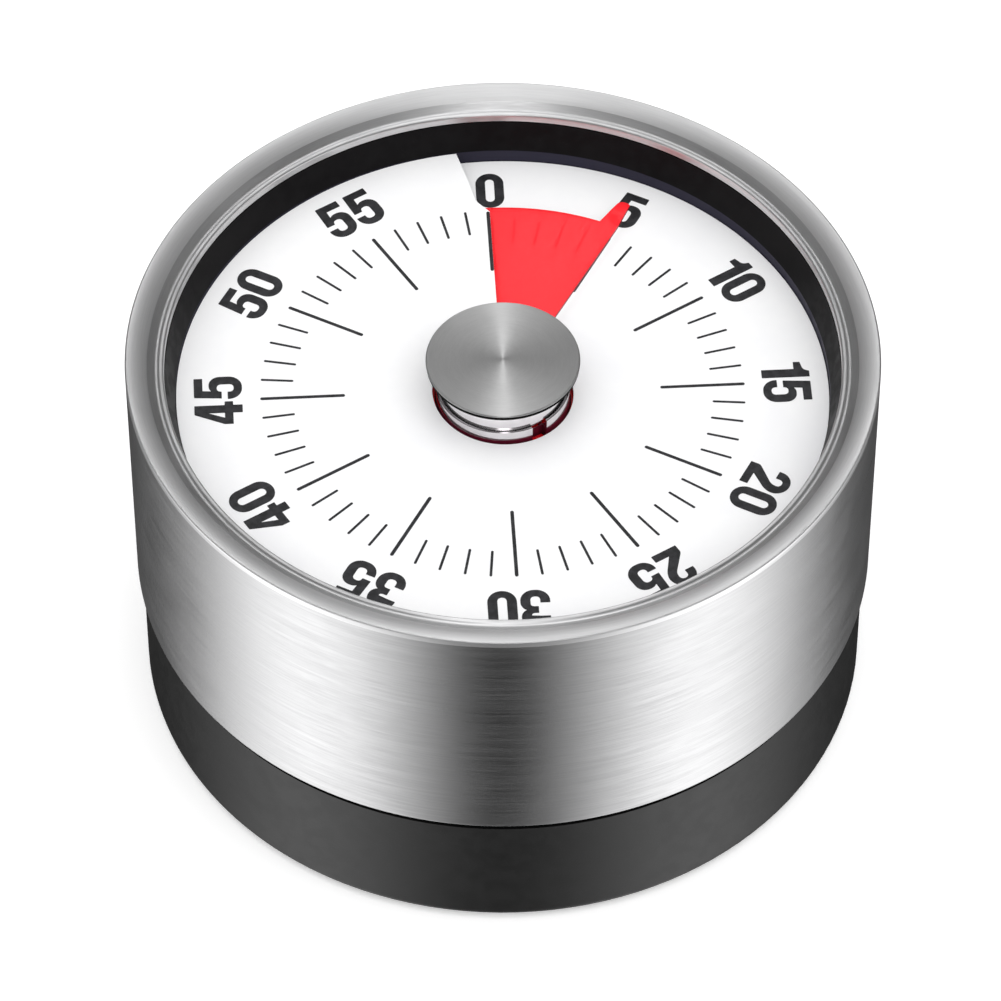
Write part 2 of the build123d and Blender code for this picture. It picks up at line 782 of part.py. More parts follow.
# Clutch spring: dished washer that lets the hand overrun the train
with BuildPart() as clutch_spring:
    turn(
        (arbor_radius, arbor_stop_bottom - clutch_spring_thickness),
        (clutch_spring_radius, main_wheel_top),
        (clutch_spring_radius, main_wheel_top + clutch_spring_thickness),
        (arbor_radius, arbor_stop_bottom),
    )
clutch_spring.part.label = "clutch_spring"
export_step(clutch_spring.part, "parts/clutch_spring.step")

# Mainspring: its eye lies round the arbor's core, and its outer end is held by the anchor pin
spring_inner = arbor_collar_radius + spring_eye_gap + mainspring_strip / 2
with BuildPart() as mainspring:
    spiral_strip(
        spring_inner,
        mainspring_radius,
        mainspring_turns,
        mainspring_strip,
        mainspring_bottom,
        mainspring_height,
        main_centre,
    )
mainspring.part.label = "mainspring"
export_step(mainspring.part, "parts/mainspring.step")

with BuildPart() as spring_anchor:
    anchor_circle = mainspring_radius + mainspring_strip / 2 + anchor_radius + ledge_gap
    anchor_top = mainspring_bottom + mainspring_height
    rod(anchor_radius, back_plate_top, anchor_top, (anchor_circle, 0))
spring_anchor.part.label = "spring_anchor"
export_step(spring_anchor.part, "parts/spring_anchor.step")


def train_wheel(teeth, wheel_centre, driver_centre, next_place, wheel_bottom):
    """One arbor of the train: its pinion meets the driver one level up, and its wheel the next pinion."""
    pinion_bottom = wheel_bottom + level_drop - pinion_overhang
    pinion_top = wheel_bottom + level_drop + wheel_thickness + pinion_overhang
    wheel_top = wheel_bottom + wheel_thickness
    driver_module = main_module if driver_centre == main_centre else train_module
    mesh_phase = bearing(wheel_centre, driver_centre) + 180 / pinion_leaves
    prism(gear_outline(pinion_leaves, driver_module, mesh_phase, wheel_centre), pinion_bottom, pinion_top)
    prism(
        gear_outline(teeth, train_module, bearing(wheel_centre, next_place), wheel_centre),
        wheel_bottom,
        wheel_top,
    )
    spoke_windows(train_module * teeth / 2, wheel_bottom, wheel_top, wheel_centre)
    arbor(wheel_centre)


with BuildPart() as second_wheel:
    train_wheel(second_teeth, second_centre, main_centre, third_centre, second_wheel_bottom)
second_wheel.part.label = "second_wheel"
export_step(second_wheel.part, "parts/second_wheel.step")

with BuildPart() as third_wheel:
    train_wheel(third_teeth, third_centre, second_centre, fourth_centre, third_wheel_bottom)
third_wheel.part.label = "third_wheel"
export_step(third_wheel.part, "parts/third_wheel.step")

with BuildPart() as fourth_wheel:
    train_wheel(fourth_teeth, fourth_centre, third_centre, escape_centre, fourth_wheel_bottom)
fourth_wheel.part.label = "fourth_wheel"
export_step(fourth_wheel.part, "parts/fourth_wheel.step")

# Escape wheel: pointed teeth, with its pinion above
escape_outline = []
for tooth in range(escape_teeth):
    tooth_angle = tooth * 360 / escape_teeth
    for radius, lead in ((escape_root_radius, 0), (escape_radius, 3), (escape_radius, 5)):
        x, y = polar(radius, tooth_angle + lead)
        escape_outline.append((escape_centre[0] + x, escape_centre[1] + y))
with BuildPart() as escape_wheel:
    prism(escape_outline, escape_wheel_bottom, escape_wheel_bottom + wheel_thickness)
    prism(
        gear_outline(
            pinion_leaves,
            train_module,
            bearing(escape_centre, fourth_centre) + 180 / pinion_leaves,
            escape_centre,
        ),
        fourth_wheel_bottom - pinion_overhang,
        fourth_wheel_bottom + wheel_thickness + pinion_overhang,
    )
    arbor(escape_centre)
escape_wheel.part.label = "escape_wheel"
export_step(escape_wheel.part, "parts/escape_wheel.step")

# Pallet lever: two steel pins beside the escape wheel, and a fork that ends short of the balance roller
pin_circle = escape_radius + pallet_pin_gap + pallet_pin_radius
with BuildPart() as pallet_lever:
    lever_top = lever_bottom + lever_thickness
    for side in (-1, 1):
        x, y = polar(pin_circle, escape_to_balance + side * pallet_pin_angle)
        pin_place = (escape_centre[0] + x, escape_centre[1] + y)
        bar(pallet_centre, pin_place, lever_width, lever_bottom, lever_top)
        rod(pallet_pin_radius, escape_wheel_bottom, lever_top, pin_place)
    fork_length = balance_distance - pallet_distance - roller_radius - lever_fork_gap - lever_width / 2
    x, y = polar(fork_length, escape_to_balance)
    bar(pallet_centre, (pallet_centre[0] + x, pallet_centre[1] + y), lever_width, lever_bottom, lever_top)
    arbor(pallet_centre)
pallet_lever.part.label = "pallet_lever"
export_step(pallet_lever.part, "parts/pallet_lever.step")

# Balance wheel: rim, one crossbar, staff and roller
with BuildPart() as balance_wheel:
    balance_top = balance_bottom + balance_thickness
    rod(balance_radius, balance_bottom, balance_top, balance_centre)
    hole(balance_radius - balance_rim_width, balance_bottom, balance_top, balance_centre)
    x, y = polar(balance_radius - balance_rim_width / 2, escape_to_balance)
    bar_ends = [(balance_centre[0] + sign * x, balance_centre[1] + sign * y) for sign in (-1, 1)]
    bar(*bar_ends, balance_rim_width, balance_bottom, balance_top)
    rod(roller_radius, lever_bottom, lever_top, balance_centre)
    arbor(balance_centre)
balance_wheel.part.label = "balance_wheel"
export_step(balance_wheel.part, "parts/balance_wheel.step")

# Hairspring: fine flat spiral round the balance staff
with BuildPart() as hairspring:
    spiral_strip(
        train_arbor_radius + key_clearance,
        hairspring_radius,
        hairspring_turns,
        hairspring_strip,
        hairspring_bottom,
        hairspring_height,
        balance_centre,
    )
hairspring.part.label = "hairspring"
export_step(hairspring.part, "parts/hairspring.step")

# Stop lug on the arbor and its post on the front plate: they end the knob's travel at both ends
arm_half_width = stop_arm_width / 2 + stop_post_radius + stop_gap
blocked_half_angle = math.degrees(math.asin(arm_half_width / stop_post_circle))
with BuildPart() as stop_lug:
    rod(stop_hub_radius, stop_lug_bottom, stop_lug_bottom + stop_lug_thickness)
    arm_end = clock(stop_reach - stop_arm_width / 2, set_angle + 180)
    bar(main_centre, arm_end, stop_arm_width, stop_lug_bottom, stop_lug_bottom + stop_lug_thickness)
    hole(arbor_radius, stop_lug_bottom, stop_lug_bottom + stop_lug_thickness)
stop_lug.part.label = "stop_lug"
export_step(stop_lug.part, "parts/stop_lug.step")

with BuildPart() as stop_post:
    post_place = clock(stop_post_circle, 180 - blocked_half_angle)
    rod(stop_post_radius, front_plate_top, stop_lug_bottom + stop_lug_thickness, post_place)
stop_post.part.label = "stop_post"
export_step(stop_post.part, "parts/stop_post.step")

# Alarm cam: its notch meets the release lever's nose when the time is up
cam_bottom = stop_lug_bottom + stop_lug_thickness + cam_rise
cam_top = cam_bottom + cam_thickness
notch_angle = release_nose_angle + set_angle
with BuildPart() as alarm_cam:
    rod(cam_radius, cam_bottom, cam_top)
    notch = [
        clock(cam_radius - cam_notch_depth, notch_angle - cam_notch_half_sweep),
        clock(cam_radius + 1, notch_angle - cam_notch_half_sweep),
        clock(cam_radius + 1, notch_angle + cam_notch_half_sweep),
        clock(cam_radius - cam_notch_depth, notch_angle + cam_notch_half_sweep),
    ]
    prism(notch, cam_bottom, cam_top, Mode.SUBTRACT)
    hole(arbor_radius, cam_bottom, cam_top)
alarm_cam.part.label = "alarm_cam"
export_step(alarm_cam.part, "parts/alarm_cam.step")

# Release lever: nose at the cam, turning on its post outside the stop lug's sweep
nose_place = clock(cam_radius + release_nose_gap + release_width / 2, release_nose_angle)
with BuildPart() as release_lever:
    bar(release_centre, nose_place, release_width, cam_bottom, cam_top)
    rod(release_post_radius * 2, cam_bottom, cam_top, release_centre)
    hole(release_post_radius + pivot_clearance, cam_bottom, cam_top, release_centre)
release_lever.part.label = "release_lever"
export_step(release_lever.part, "parts/release_lever.step")

with BuildPart() as release_post:
    rod(release_post_radius, front_plate_top, cam_top, release_centre)
    rod(release_post_radius * 2, front_plate_top, cam_bottom - cam_rise, release_centre)
release_post.part.label = "release_post"
export_step(release_post.part, "parts/release_post.step")

# Bell: shallow steel dome that hangs from its post under the movement
with BuildPart() as bell:
    turn(
        (bell_screw_radius + screw_hole_clearance, bell_crown),
        (bell_flat_radius, bell_crown),
        (bell_radius, bell_rim + bell_wall),
        (bell_radius, bell_rim),
        (bell_radius - bell_wall, bell_rim),
        (bell_flat_radius - bell_wall / 2, bell_crown - bell_wall),
        (bell_screw_radius + screw_hole_clearance, bell_crown - bell_wall),
    )
bell.part.label = "bell"
export_step(bell.part, "parts/bell.step")

with BuildPart() as bell_post:
    rod(bell_post_radius, bell_crown, back_plate_bottom)
    hole(bell_screw_radius, bell_crown, back_plate_bottom)
bell_post.part.label = "bell_post"
export_step(bell_post.part, "parts/bell_post.step")

with BuildPart() as bell_screw:
    bell_under = bell_crown - bell_wall
    rod(bell_screw_head_radius, bell_under - bell_screw_head_height, bell_under)
    rod(bell_screw_radius, bell_under, bell_under + bell_screw_length / 2)
bell_screw.part.label = "bell_screw"
export_step(bell_screw.part, "parts/bell_screw.step")

# Hammer: arbor in both plates, arm beside the bell's rim, and a turned head
head_circle = bell_radius + hammer_strike_gap + hammer_head_radius
head_place = polar(head_circle, hammer_head_angle)
arm_bottom = hammer_bottom + hammer_head_height
with BuildPart() as hammer_arm:
    rod(hammer_arbor_radius, hammer_bottom + hammer_head_height, front_plate_top, hammer_centre)
    bar(hammer_centre, head_place, hammer_arm_width, arm_bottom, arm_bottom + hammer_arm_thickness)
hammer_arm.part.label = "hammer_arm"
export_step(hammer_arm.part, "parts/hammer_arm.step")

with BuildPart() as hammer_head:
    rod(hammer_head_radius, hammer_bottom, arm_bottom, head_place)
hammer_head.part.label = "hammer_head"
export_step(hammer_head.part, "parts/hammer_head.step")

# Hammer spring: coil round the hammer arbor that draws the head back off the bell
coil_radius = hammer_arbor_radius + hammer_spring_wire
coil_pitch = hammer_spring_wire + key_clearance
with BuildPart() as hammer_spring:
    with BuildLine(Plane.XY.offset(hammer_spring_bottom)) as coil:
        Helix(coil_pitch, coil_pitch * hammer_spring_turns, coil_radius, center=(*hammer_centre, 0))
    with BuildSketch(Plane(coil.line @ 0, z_dir=coil.line % 0)) as wire:
        Circle(hammer_spring_wire / 2)
    sweep(wire.sketch, path=coil.line, is_frenet=True)
hammer_spring.part.label = "hammer_spring"
export_step(hammer_spring.part, "parts/hammer_spring.step")
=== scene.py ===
"""Looks of a mechanical kitchen timer with a steel shell, a ramp dial, a red disc and a black base.

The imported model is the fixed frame. Each sub-assembly below builds the meshes that are seen, dresses
them and the frame's own pieces in procedural finishes, and rides them on the bodies that they move with.
Sizes are written in millimetres and degrees, and meshes are made in metres.
"""

from __future__ import annotations

import json
import logging
import math
from collections.abc import Iterable, Sequence
from dataclasses import dataclass
from enum import Enum

import bmesh
import bpy
from mathutils import Matrix, Vector

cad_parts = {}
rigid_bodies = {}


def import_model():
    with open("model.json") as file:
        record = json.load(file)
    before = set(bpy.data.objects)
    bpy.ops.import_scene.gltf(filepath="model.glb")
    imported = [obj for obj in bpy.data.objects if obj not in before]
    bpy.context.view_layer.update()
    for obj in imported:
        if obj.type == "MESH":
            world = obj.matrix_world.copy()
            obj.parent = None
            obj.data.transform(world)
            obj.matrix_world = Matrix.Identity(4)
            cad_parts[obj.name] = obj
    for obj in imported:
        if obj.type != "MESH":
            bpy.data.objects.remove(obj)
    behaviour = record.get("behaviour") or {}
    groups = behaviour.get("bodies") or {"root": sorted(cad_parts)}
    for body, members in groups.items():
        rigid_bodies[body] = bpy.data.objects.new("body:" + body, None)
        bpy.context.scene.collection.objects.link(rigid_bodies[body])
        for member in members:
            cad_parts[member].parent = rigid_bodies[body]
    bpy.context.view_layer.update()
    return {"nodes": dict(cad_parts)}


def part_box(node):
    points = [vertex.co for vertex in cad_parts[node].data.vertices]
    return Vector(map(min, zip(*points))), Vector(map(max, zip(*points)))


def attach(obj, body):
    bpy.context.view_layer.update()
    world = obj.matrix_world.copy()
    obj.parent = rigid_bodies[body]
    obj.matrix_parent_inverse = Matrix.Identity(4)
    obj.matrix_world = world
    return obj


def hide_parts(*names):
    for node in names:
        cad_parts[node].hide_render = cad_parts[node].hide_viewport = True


for leftover in list(bpy.data.objects):
    bpy.data.objects.remove(leftover)
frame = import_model()

logging.basicConfig(level=logging.INFO, format="%(message)s")
LOG = logging.getLogger("kitchen_timer")

MM = 0.001
FULL_TURN = 2 * math.pi
MERGE_DISTANCE = 1e-7
RING_REACH = 0.004
SHARP_CORNER = 0.05
STEPS_PER_MM = 7

Mesh = bmesh.types.BMesh
Vert = bmesh.types.BMVert
Node = bpy.types.Node
Socket = bpy.types.NodeSocket
Tree = bpy.types.NodeTree
Feed = Socket | float | Sequence[float]
Outline = Sequence[tuple[float, float]]
Contour = Sequence[tuple[float, float, float]]
Colour = tuple[float, float, float]


class Body(Enum):
    """Moving bodies of the timer that pieces ride on."""

    CASE = "case"
    KNOB = "knob"
    DISC = "disc"


class Slot(Enum):
    """Material slots named in the record."""

    SHELL = "shell_steel"
    CAP = "cap_steel"
    SKIRT = "skirt_chrome"
    DIAL = "dial_white"
    DISC = "disc_red"
    BASE = "base_black"
    FOOT = "foot_rubber"
    PLATED = "plated_steel"


class Mark(Enum):
    """The two lengths of line on the dial, as inner radius, outer radius and width."""

    MINUTE = (21.8, 25.2, 0.27)
    FIVE_MINUTE = (16.4, 25.2, 0.37)


@dataclass(frozen=True)
class Box:
    """Where a node of the frame lies: its outer radius, underside and top."""

    radius: float
    low: float
    high: float


def grey(tone: float) -> Colour:
    """A neutral colour."""
    return (tone, tone, tone)


def box_of(node: str) -> Box:
    """Reads a node's place from the frame.

    Args:
        node: Name of the node.

    Returns:
        Its radius about the upright axis, its underside and its top.
    """
    low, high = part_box(node)
    return Box(radius=high.x / MM, low=low.z / MM, high=high.z / MM)


# --- Mesh tools ---


def dial_angle(place: Vector) -> float:
    """The dial angle of a point in degrees, clockwise from the 0 mark, from -180 to 180."""
    return math.degrees(math.atan2(place.x, place.y))


def turned(outline: Outline, steps: int = 256) -> Mesh:
    """Turns a closed outline about the upright axis.

    Args:
        outline: Radius and height of each corner, in order.
        steps: Number of steps round.

    Returns:
        A closed mesh whose faces point outwards.
    """
    mesh = bmesh.new()
    corners = [mesh.verts.new((radius * MM, 0, height * MM)) for radius, height in outline]
    edges = [mesh.edges.new(pair) for pair in zip(corners, corners[1:] + corners[:1])]
    about = {"cent": (0, 0, 0), "axis": (0, 0, 1), "dvec": (0, 0, 0)}
    bmesh.ops.spin(mesh, geom=corners + edges, angle=FULL_TURN, steps=steps, use_merge=True, **about)
    bmesh.ops.remove_doubles(mesh, verts=mesh.verts, dist=MERGE_DISTANCE)
    bmesh.ops.recalc_face_normals(mesh, faces=mesh.faces)
    return mesh


def round_ring(mesh: Mesh, corner: tuple[float, float], width: float, segments: int) -> None:
    """Rounds the ring of edges that a corner of a turned outline leaves.

    Args:
        mesh: The turned mesh.
        corner: Radius and height of the corner.
        width: Width of the rounding along each side.
        segments: Steps across the rounding.
    """
    radius, height = corner

    def on_ring(vert: Vert) -> bool:
        """True where a vertex lies on the ring."""
        near_radius = abs(math.hypot(vert.co.x, vert.co.y) / MM - radius) < RING_REACH
        return near_radius and abs(vert.co.z / MM - height) < RING_REACH

    ring = [edge for edge in mesh.edges if all(on_ring(vert) for vert in edge.verts)]
    settings = {"profile": 0.5, "affect": "EDGES", "material": -1, "clamp_overlap": True}
    bmesh.ops.bevel(mesh, geom=ring, offset=width * MM, segments=segments, **settings)


def ramp(
    radii: Sequence[float], start: float, top: float, thickness: float, rise: float, steps: int
) -> Mesh:
    """A full turn of a ramp plate that climbs clockwise.

    Args:
        radii: Radii of its rows, from its bore to its rim.
        start: Dial angle where it begins.
        top: Height of its upper face at dial angle 0.
        thickness: Thickness of the plate.
        rise: Climb in one turn.
        steps: Number of steps round.

    Returns:
        A closed mesh.
    """
    mesh = bmesh.new()
    upper = top + rise * start / 360
    row = [mesh.verts.new((0, radius * MM, upper * MM)) for radius in radii]
    for pair in zip(row, row[1:]):
        mesh.edges.new(pair)
    grown = bmesh.ops.extrude_edge_only(mesh, edges=mesh.edges)
    lower = [item for item in grown["geom"] if isinstance(item, Vert)]
    bmesh.ops.translate(mesh, verts=lower, vec=(0, 0, -thickness * MM))
    turn = Matrix.Rotation(-math.radians(start), 3, "Z")
    bmesh.ops.rotate(mesh, verts=mesh.verts, cent=(0, 0, 0), matrix=turn)
    wall = [*mesh.verts, *mesh.edges, *mesh.faces]
    about = {"cent": (0, 0, 0), "axis": (0, 0, 1), "dvec": (0, 0, rise * MM / steps)}
    bmesh.ops.spin(mesh, geom=wall, angle=-FULL_TURN, steps=steps, use_merge=False, **about)
    bmesh.ops.recalc_face_normals(mesh, faces=mesh.faces)
    return mesh


def plate(contours: Sequence[Contour], thickness: float) -> Mesh:
    """A thin flat plate with rounded corners, and with holes where contours lie inside one another.

    Args:
        contours: Closed contours of x, y and corner rounding.
        thickness: Thickness of the plate, which stands on height 0.

    Returns:
        A closed mesh.
    """
    mesh = bmesh.new()
    for contour in contours:
        corners = [mesh.verts.new((x * MM, y * MM, 0)) for x, y, _ in contour]
        for pair in zip(corners, corners[1:] + corners[:1]):
            mesh.edges.new(pair)
        roundings = sorted({rounding for _, _, rounding in contour if rounding > 0}, reverse=True)
        for size in roundings:
            sharp = [vert for vert, (_, _, rounding) in zip(corners, contour) if rounding == size]
            steps = max(2, math.ceil(size * STEPS_PER_MM))
            settings = {"profile": 0.5, "affect": "VERTICES", "material": -1}
            bmesh.ops.bevel(mesh, geom=sharp, offset=size * MM, segments=steps, **settings)
    bmesh.ops.triangle_fill(mesh, use_beauty=True, edges=mesh.edges, normal=(0, 0, 1))
    lower = list(mesh.faces)
    grown = bmesh.ops.extrude_face_region(mesh, geom=lower, use_keep_orig=True)
    raised = [item for item in grown["geom"] if isinstance(item, Vert)]
    bmesh.ops.translate(mesh, verts=raised, vec=(0, 0, thickness * MM))
    bmesh.ops.recalc_face_normals(mesh, faces=mesh.faces)
    return mesh


def join(meshes: Iterable[Mesh]) -> Mesh:
    """Joins meshes into a new one, loose from each other.

    Args:
        meshes: The meshes, which are freed.

    Returns:
        The joined mesh.
    """
    joined = bmesh.new()
    for mesh in meshes:
        data = bpy.data.meshes.new("joining")
        mesh.to_mesh(data)
        mesh.free()
        joined.from_mesh(data)
        bpy.data.meshes.remove(data)
    return joined


def show(
    mesh: Mesh,
    name: str,
    finish: Finish,
    body: Body,
    replaces: Sequence[str] = (),
    sharp_above: float = 35.0,
) -> bpy.types.Object:
    """Makes a finished piece of a mesh and rides it on its body.

    Args:
        mesh: The mesh, which is freed.
        name: Name of the piece.
        finish: Its finish.
        body: The body that it moves with.
        replaces: Nodes of the frame that it stands for.
        sharp_above: Angle between faces in degrees above which their edge is sharp.

    Returns:
        The piece.
    """
    data = bpy.data.meshes.new(name)
    mesh.to_mesh(data)
    mesh.free()
    data.polygons.foreach_set("use_smooth", [True] * len(data.polygons))
    data.set_sharp_from_angle(angle=math.radians(sharp_above))
    data.materials.append(finish.material())
    piece = bpy.data.objects.new(name, data)
    bpy.context.scene.collection.objects.link(piece)
    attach(piece, body.value)
    if replaces:
        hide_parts(*replaces)
    LOG.info("%s: %d faces on %s", name, len(data.polygons), body.value)
    return piece


def dress(finish: Finish, *nodes: str) -> None:
    """Gives nodes of the frame a finish.

    Args:
        finish: The finish.
        nodes: Names of the nodes.
    """
    for node in nodes:
        piece = frame["nodes"][node]
        for place in piece.material_slots:
            place.material = finish.material()
        LOG.info("%s: dressed in %s", node, finish.name)


# --- Node tools and shared shader groups ---

class Graph:
    """A node tree, with short ways to add nodes and feed their sockets."""

    def __init__(self, tree: Tree) -> None:
        """Keeps the tree."""
        self.tree = tree

    def add(self, kind: str, feeds: dict[str | int, Feed] | None = None, **settings: object) -> Node:
        """Adds a node.

        Args:
            kind: Type name of the node.
            feeds: What goes into its sockets, by name or number.
            settings: Its properties.

        Returns:
            The node.
        """
        node = self.tree.nodes.new(kind)
        for name, value in settings.items():
            setattr(node, name, value)
        self.fill(node, feeds or {})
        return node

    def feed(self, socket: Socket, value: Feed) -> None:
        """Links an output to a socket, or sets the socket's own value.

        Args:
            socket: The socket.
            value: An output, a number, a vector, or a colour with or without its alpha.
        """
        if isinstance(value, Socket):
            self.tree.links.new(value, socket)
        elif socket.type == "RGBA" and len(value) == 3:
            socket.default_value = (*value, 1.0)
        else:
            socket.default_value = value

    def fill(self, node: Node, feeds: dict[str | int, Feed]) -> None:
        """Feeds several sockets of a node, by name or number."""
        for socket, value in feeds.items():
            self.feed(node.inputs[socket], value)

    def math(self, operation: str, first: Feed, second: Feed = 0.0, clamp: bool = False) -> Socket:
        """Works a sum on one or two values.

        Args:
            operation: Name of the sum.
            first: First value.
            second: Second value.
            clamp: Whether the result is kept between 0 and 1.

        Returns:
            The result.
        """
        node = self.add("ShaderNodeMath", {0: first, 1: second}, operation=operation, use_clamp=clamp)
        return node.outputs[0]

    def spread(
        self, value: Feed, low: float, high: float, to_low: float = 0.0, to_high: float = 1.0
    ) -> Socket:
        """Maps a value smoothly from one range to another.

        Args:
            value: The value.
            low: Start of its range.
            high: End of its range.
            to_low: What the start becomes.
            to_high: What the end becomes.

        Returns:
            The mapped value.
        """
        feeds = {"Value": value, "From Min": low, "From Max": high, "To Min": to_low, "To Max": to_high}
        node = self.add("ShaderNodeMapRange", feeds, interpolation_type="SMOOTHSTEP", clamp=True)
        return node.outputs["Result"]

    def blend(self, share: Feed, first: Feed, second: Feed) -> Socket:
        """Mixes two colours.

        Args:
            share: Share of the second.
            first: First colour.
            second: Second colour.

        Returns:
            The mixed colour.
        """
        node = self.add("ShaderNodeMix", data_type="RGBA")
        self.feed(node.inputs["Factor"], share)
        self.feed(node.inputs[6], first)
        self.feed(node.inputs[7], second)
        return node.outputs[2]

    def height(self, place: Feed) -> Socket:
        """The height of a place in metres."""
        return self.add("ShaderNodeSeparateXYZ", {0: place}).outputs[2]

    def noise(self, vector: Feed, scale: float, detail: float = 3.0, roughness: float = 0.5) -> Socket:
        """Soft noise about 0.5."""
        feeds = {"Vector": vector, "Scale": scale, "Detail": detail, "Roughness": roughness}
        return self.add("ShaderNodeTexNoise", feeds, noise_dimensions="3D").outputs["Fac"]


def new_group(
    name: str, inputs: Sequence[tuple[str, str, float]], outputs: Sequence[str]
) -> tuple[Graph, dict[str, Socket], dict[str, Socket]]:
    """Starts a shader group with named sockets.

    Args:
        name: Name of the group.
        inputs: Name, kind (Vector or Float) and value of each input.
        outputs: Names of its value outputs.

    Returns:
        Its graph, its input sockets by name and its output sockets by name.
    """
    tree = bpy.data.node_groups.new(name, "ShaderNodeTree")
    for label, kind, value in inputs:
        socket = tree.interface.new_socket(name=label, in_out="INPUT", socket_type=f"NodeSocket{kind}")
        if kind == "Float":
            socket.default_value = value
    for label in outputs:
        tree.interface.new_socket(name=label, in_out="OUTPUT", socket_type="NodeSocketFloat")
    graph = Graph(tree)
    entry = graph.add("NodeGroupInput")
    leave = graph.add("NodeGroupOutput")
    return graph, {s.name: s for s in entry.outputs}, {s.name: s for s in leave.inputs}


class SharedEffects:
    """The shader groups that several finishes use, each built once."""

    def __init__(self) -> None:
        """Builds the groups."""
        self.brushing = self._brushing()
        self.grain = self._grain()
        self.handling = self._handling()
        self.tarnish = self._tarnish()

    @staticmethod
    def _brushing() -> Tree:
        """Fine lines that run round the upright axis, across any turned face."""
        inputs = [("Place", "Vector", 0.0), ("Run", "Float", 5.0), ("Pitch", "Float", 4.0)]
        graph, given, out = new_group("turned_brushing", inputs, ["Lines", "Drift"])
        split = graph.add("ShaderNodeSeparateXYZ", {0: given["Place"]})
        flat = graph.add("ShaderNodeCombineXYZ", {0: split.outputs[0], 1: split.outputs[1]})
        radius = graph.add("ShaderNodeVectorMath", {0: flat.outputs[0]}, operation="LENGTH").outputs["Value"]
        round_axis = graph.add("ShaderNodeVectorMath", {0: flat.outputs[0]}, operation="NORMALIZE")
        around = graph.add("ShaderNodeVectorMath", {0: round_axis.outputs[0]}, operation="SCALE")
        graph.feed(around.inputs["Scale"], given["Run"])
        across = graph.math("SUBTRACT", split.outputs[2], radius)
        stacked = graph.math("MULTIPLY", graph.math("MULTIPLY", across, 1000.0), given["Pitch"])
        lift = graph.add("ShaderNodeCombineXYZ", {2: stacked})
        spot = graph.add("ShaderNodeVectorMath", {0: around.outputs[0], 1: lift.outputs[0]}, operation="ADD")
        hair = graph.noise(spot.outputs[0], 5.0, 2.0, 0.5)
        line = graph.noise(spot.outputs[0], 1.3, 2.0, 0.5)
        band = graph.noise(spot.outputs[0], 0.4, 1.0, 0.5)
        both = graph.math("ADD", graph.math("MULTIPLY", hair, 0.42), graph.math("MULTIPLY", line, 0.42))
        both = graph.math("ADD", both, graph.math("MULTIPLY", band, 0.16))
        graph.feed(out["Lines"], graph.spread(both, 0.3, 0.7))
        graph.feed(out["Drift"], graph.spread(graph.noise(given["Place"], 60.0, 2.0), 0.3, 0.7))
        return graph.tree

    @staticmethod
    def _grain() -> Tree:
        """Fine spark-eroded grain of moulded plastic."""
        inputs = [("Place", "Vector", 0.0), ("Cells per mm", "Float", 5.0)]
        graph, given, out = new_group("moulded_grain", inputs, ["Height", "Fleck"])
        scale = graph.math("MULTIPLY", given["Cells per mm"], 1000.0)
        fine = graph.add("ShaderNodeTexNoise", {"Vector": given["Place"], "Scale": scale, "Detail": 2.0})
        wide = graph.add("ShaderNodeTexNoise", {"Vector": given["Place"], "Detail": 3.0})
        graph.feed(wide.inputs["Scale"], graph.math("MULTIPLY", scale, 0.12))
        graph.feed(out["Height"], fine.outputs["Fac"])
        graph.feed(out["Fleck"], graph.spread(wide.outputs["Fac"], 0.35, 0.65))
        return graph.tree

    @staticmethod
    def _handling() -> Tree:
        """Faint smears and dust that hands and a kitchen leave."""
        inputs = [("Place", "Vector", 0.0), ("Size in mm", "Float", 9.0)]
        graph, given, out = new_group("handling_marks", inputs, ["Smear", "Dust"])
        scale = graph.math("DIVIDE", 1000.0, given["Size in mm"])
        smear = graph.add("ShaderNodeTexNoise", {"Vector": given["Place"], "Scale": scale, "Detail": 4.0})
        smear.inputs["Distortion"].default_value = 1.2
        dust = graph.noise(given["Place"], 2600.0, 1.0)
        graph.feed(out["Smear"], graph.spread(smear.outputs["Fac"], 0.4, 0.7))
        graph.feed(out["Dust"], graph.spread(dust, 0.68, 0.8))
        return graph.tree

    @staticmethod
    def _tarnish() -> Tree:
        """Cloudy tarnish and short scratches on pressed metal."""
        inputs = [("Place", "Vector", 0.0)]
        graph, given, out = new_group("tarnish", inputs, ["Cloud", "Scratches"])
        graph.feed(out["Cloud"], graph.spread(graph.noise(given["Place"], 320.0, 4.0), 0.35, 0.68))
        stretch = graph.add("ShaderNodeMapping", {"Vector": given["Place"], "Scale": (1.0, 14.0, 1.0)})
        stretch.inputs["Rotation"].default_value = (0.0, 0.0, 0.6)
        scratches = graph.noise(stretch.outputs[0], 420.0, 3.0, 0.7)
        graph.feed(out["Scratches"], graph.spread(scratches, 0.52, 0.7))
        return graph.tree


EFFECTS = SharedEffects()


# --- Finishes ---


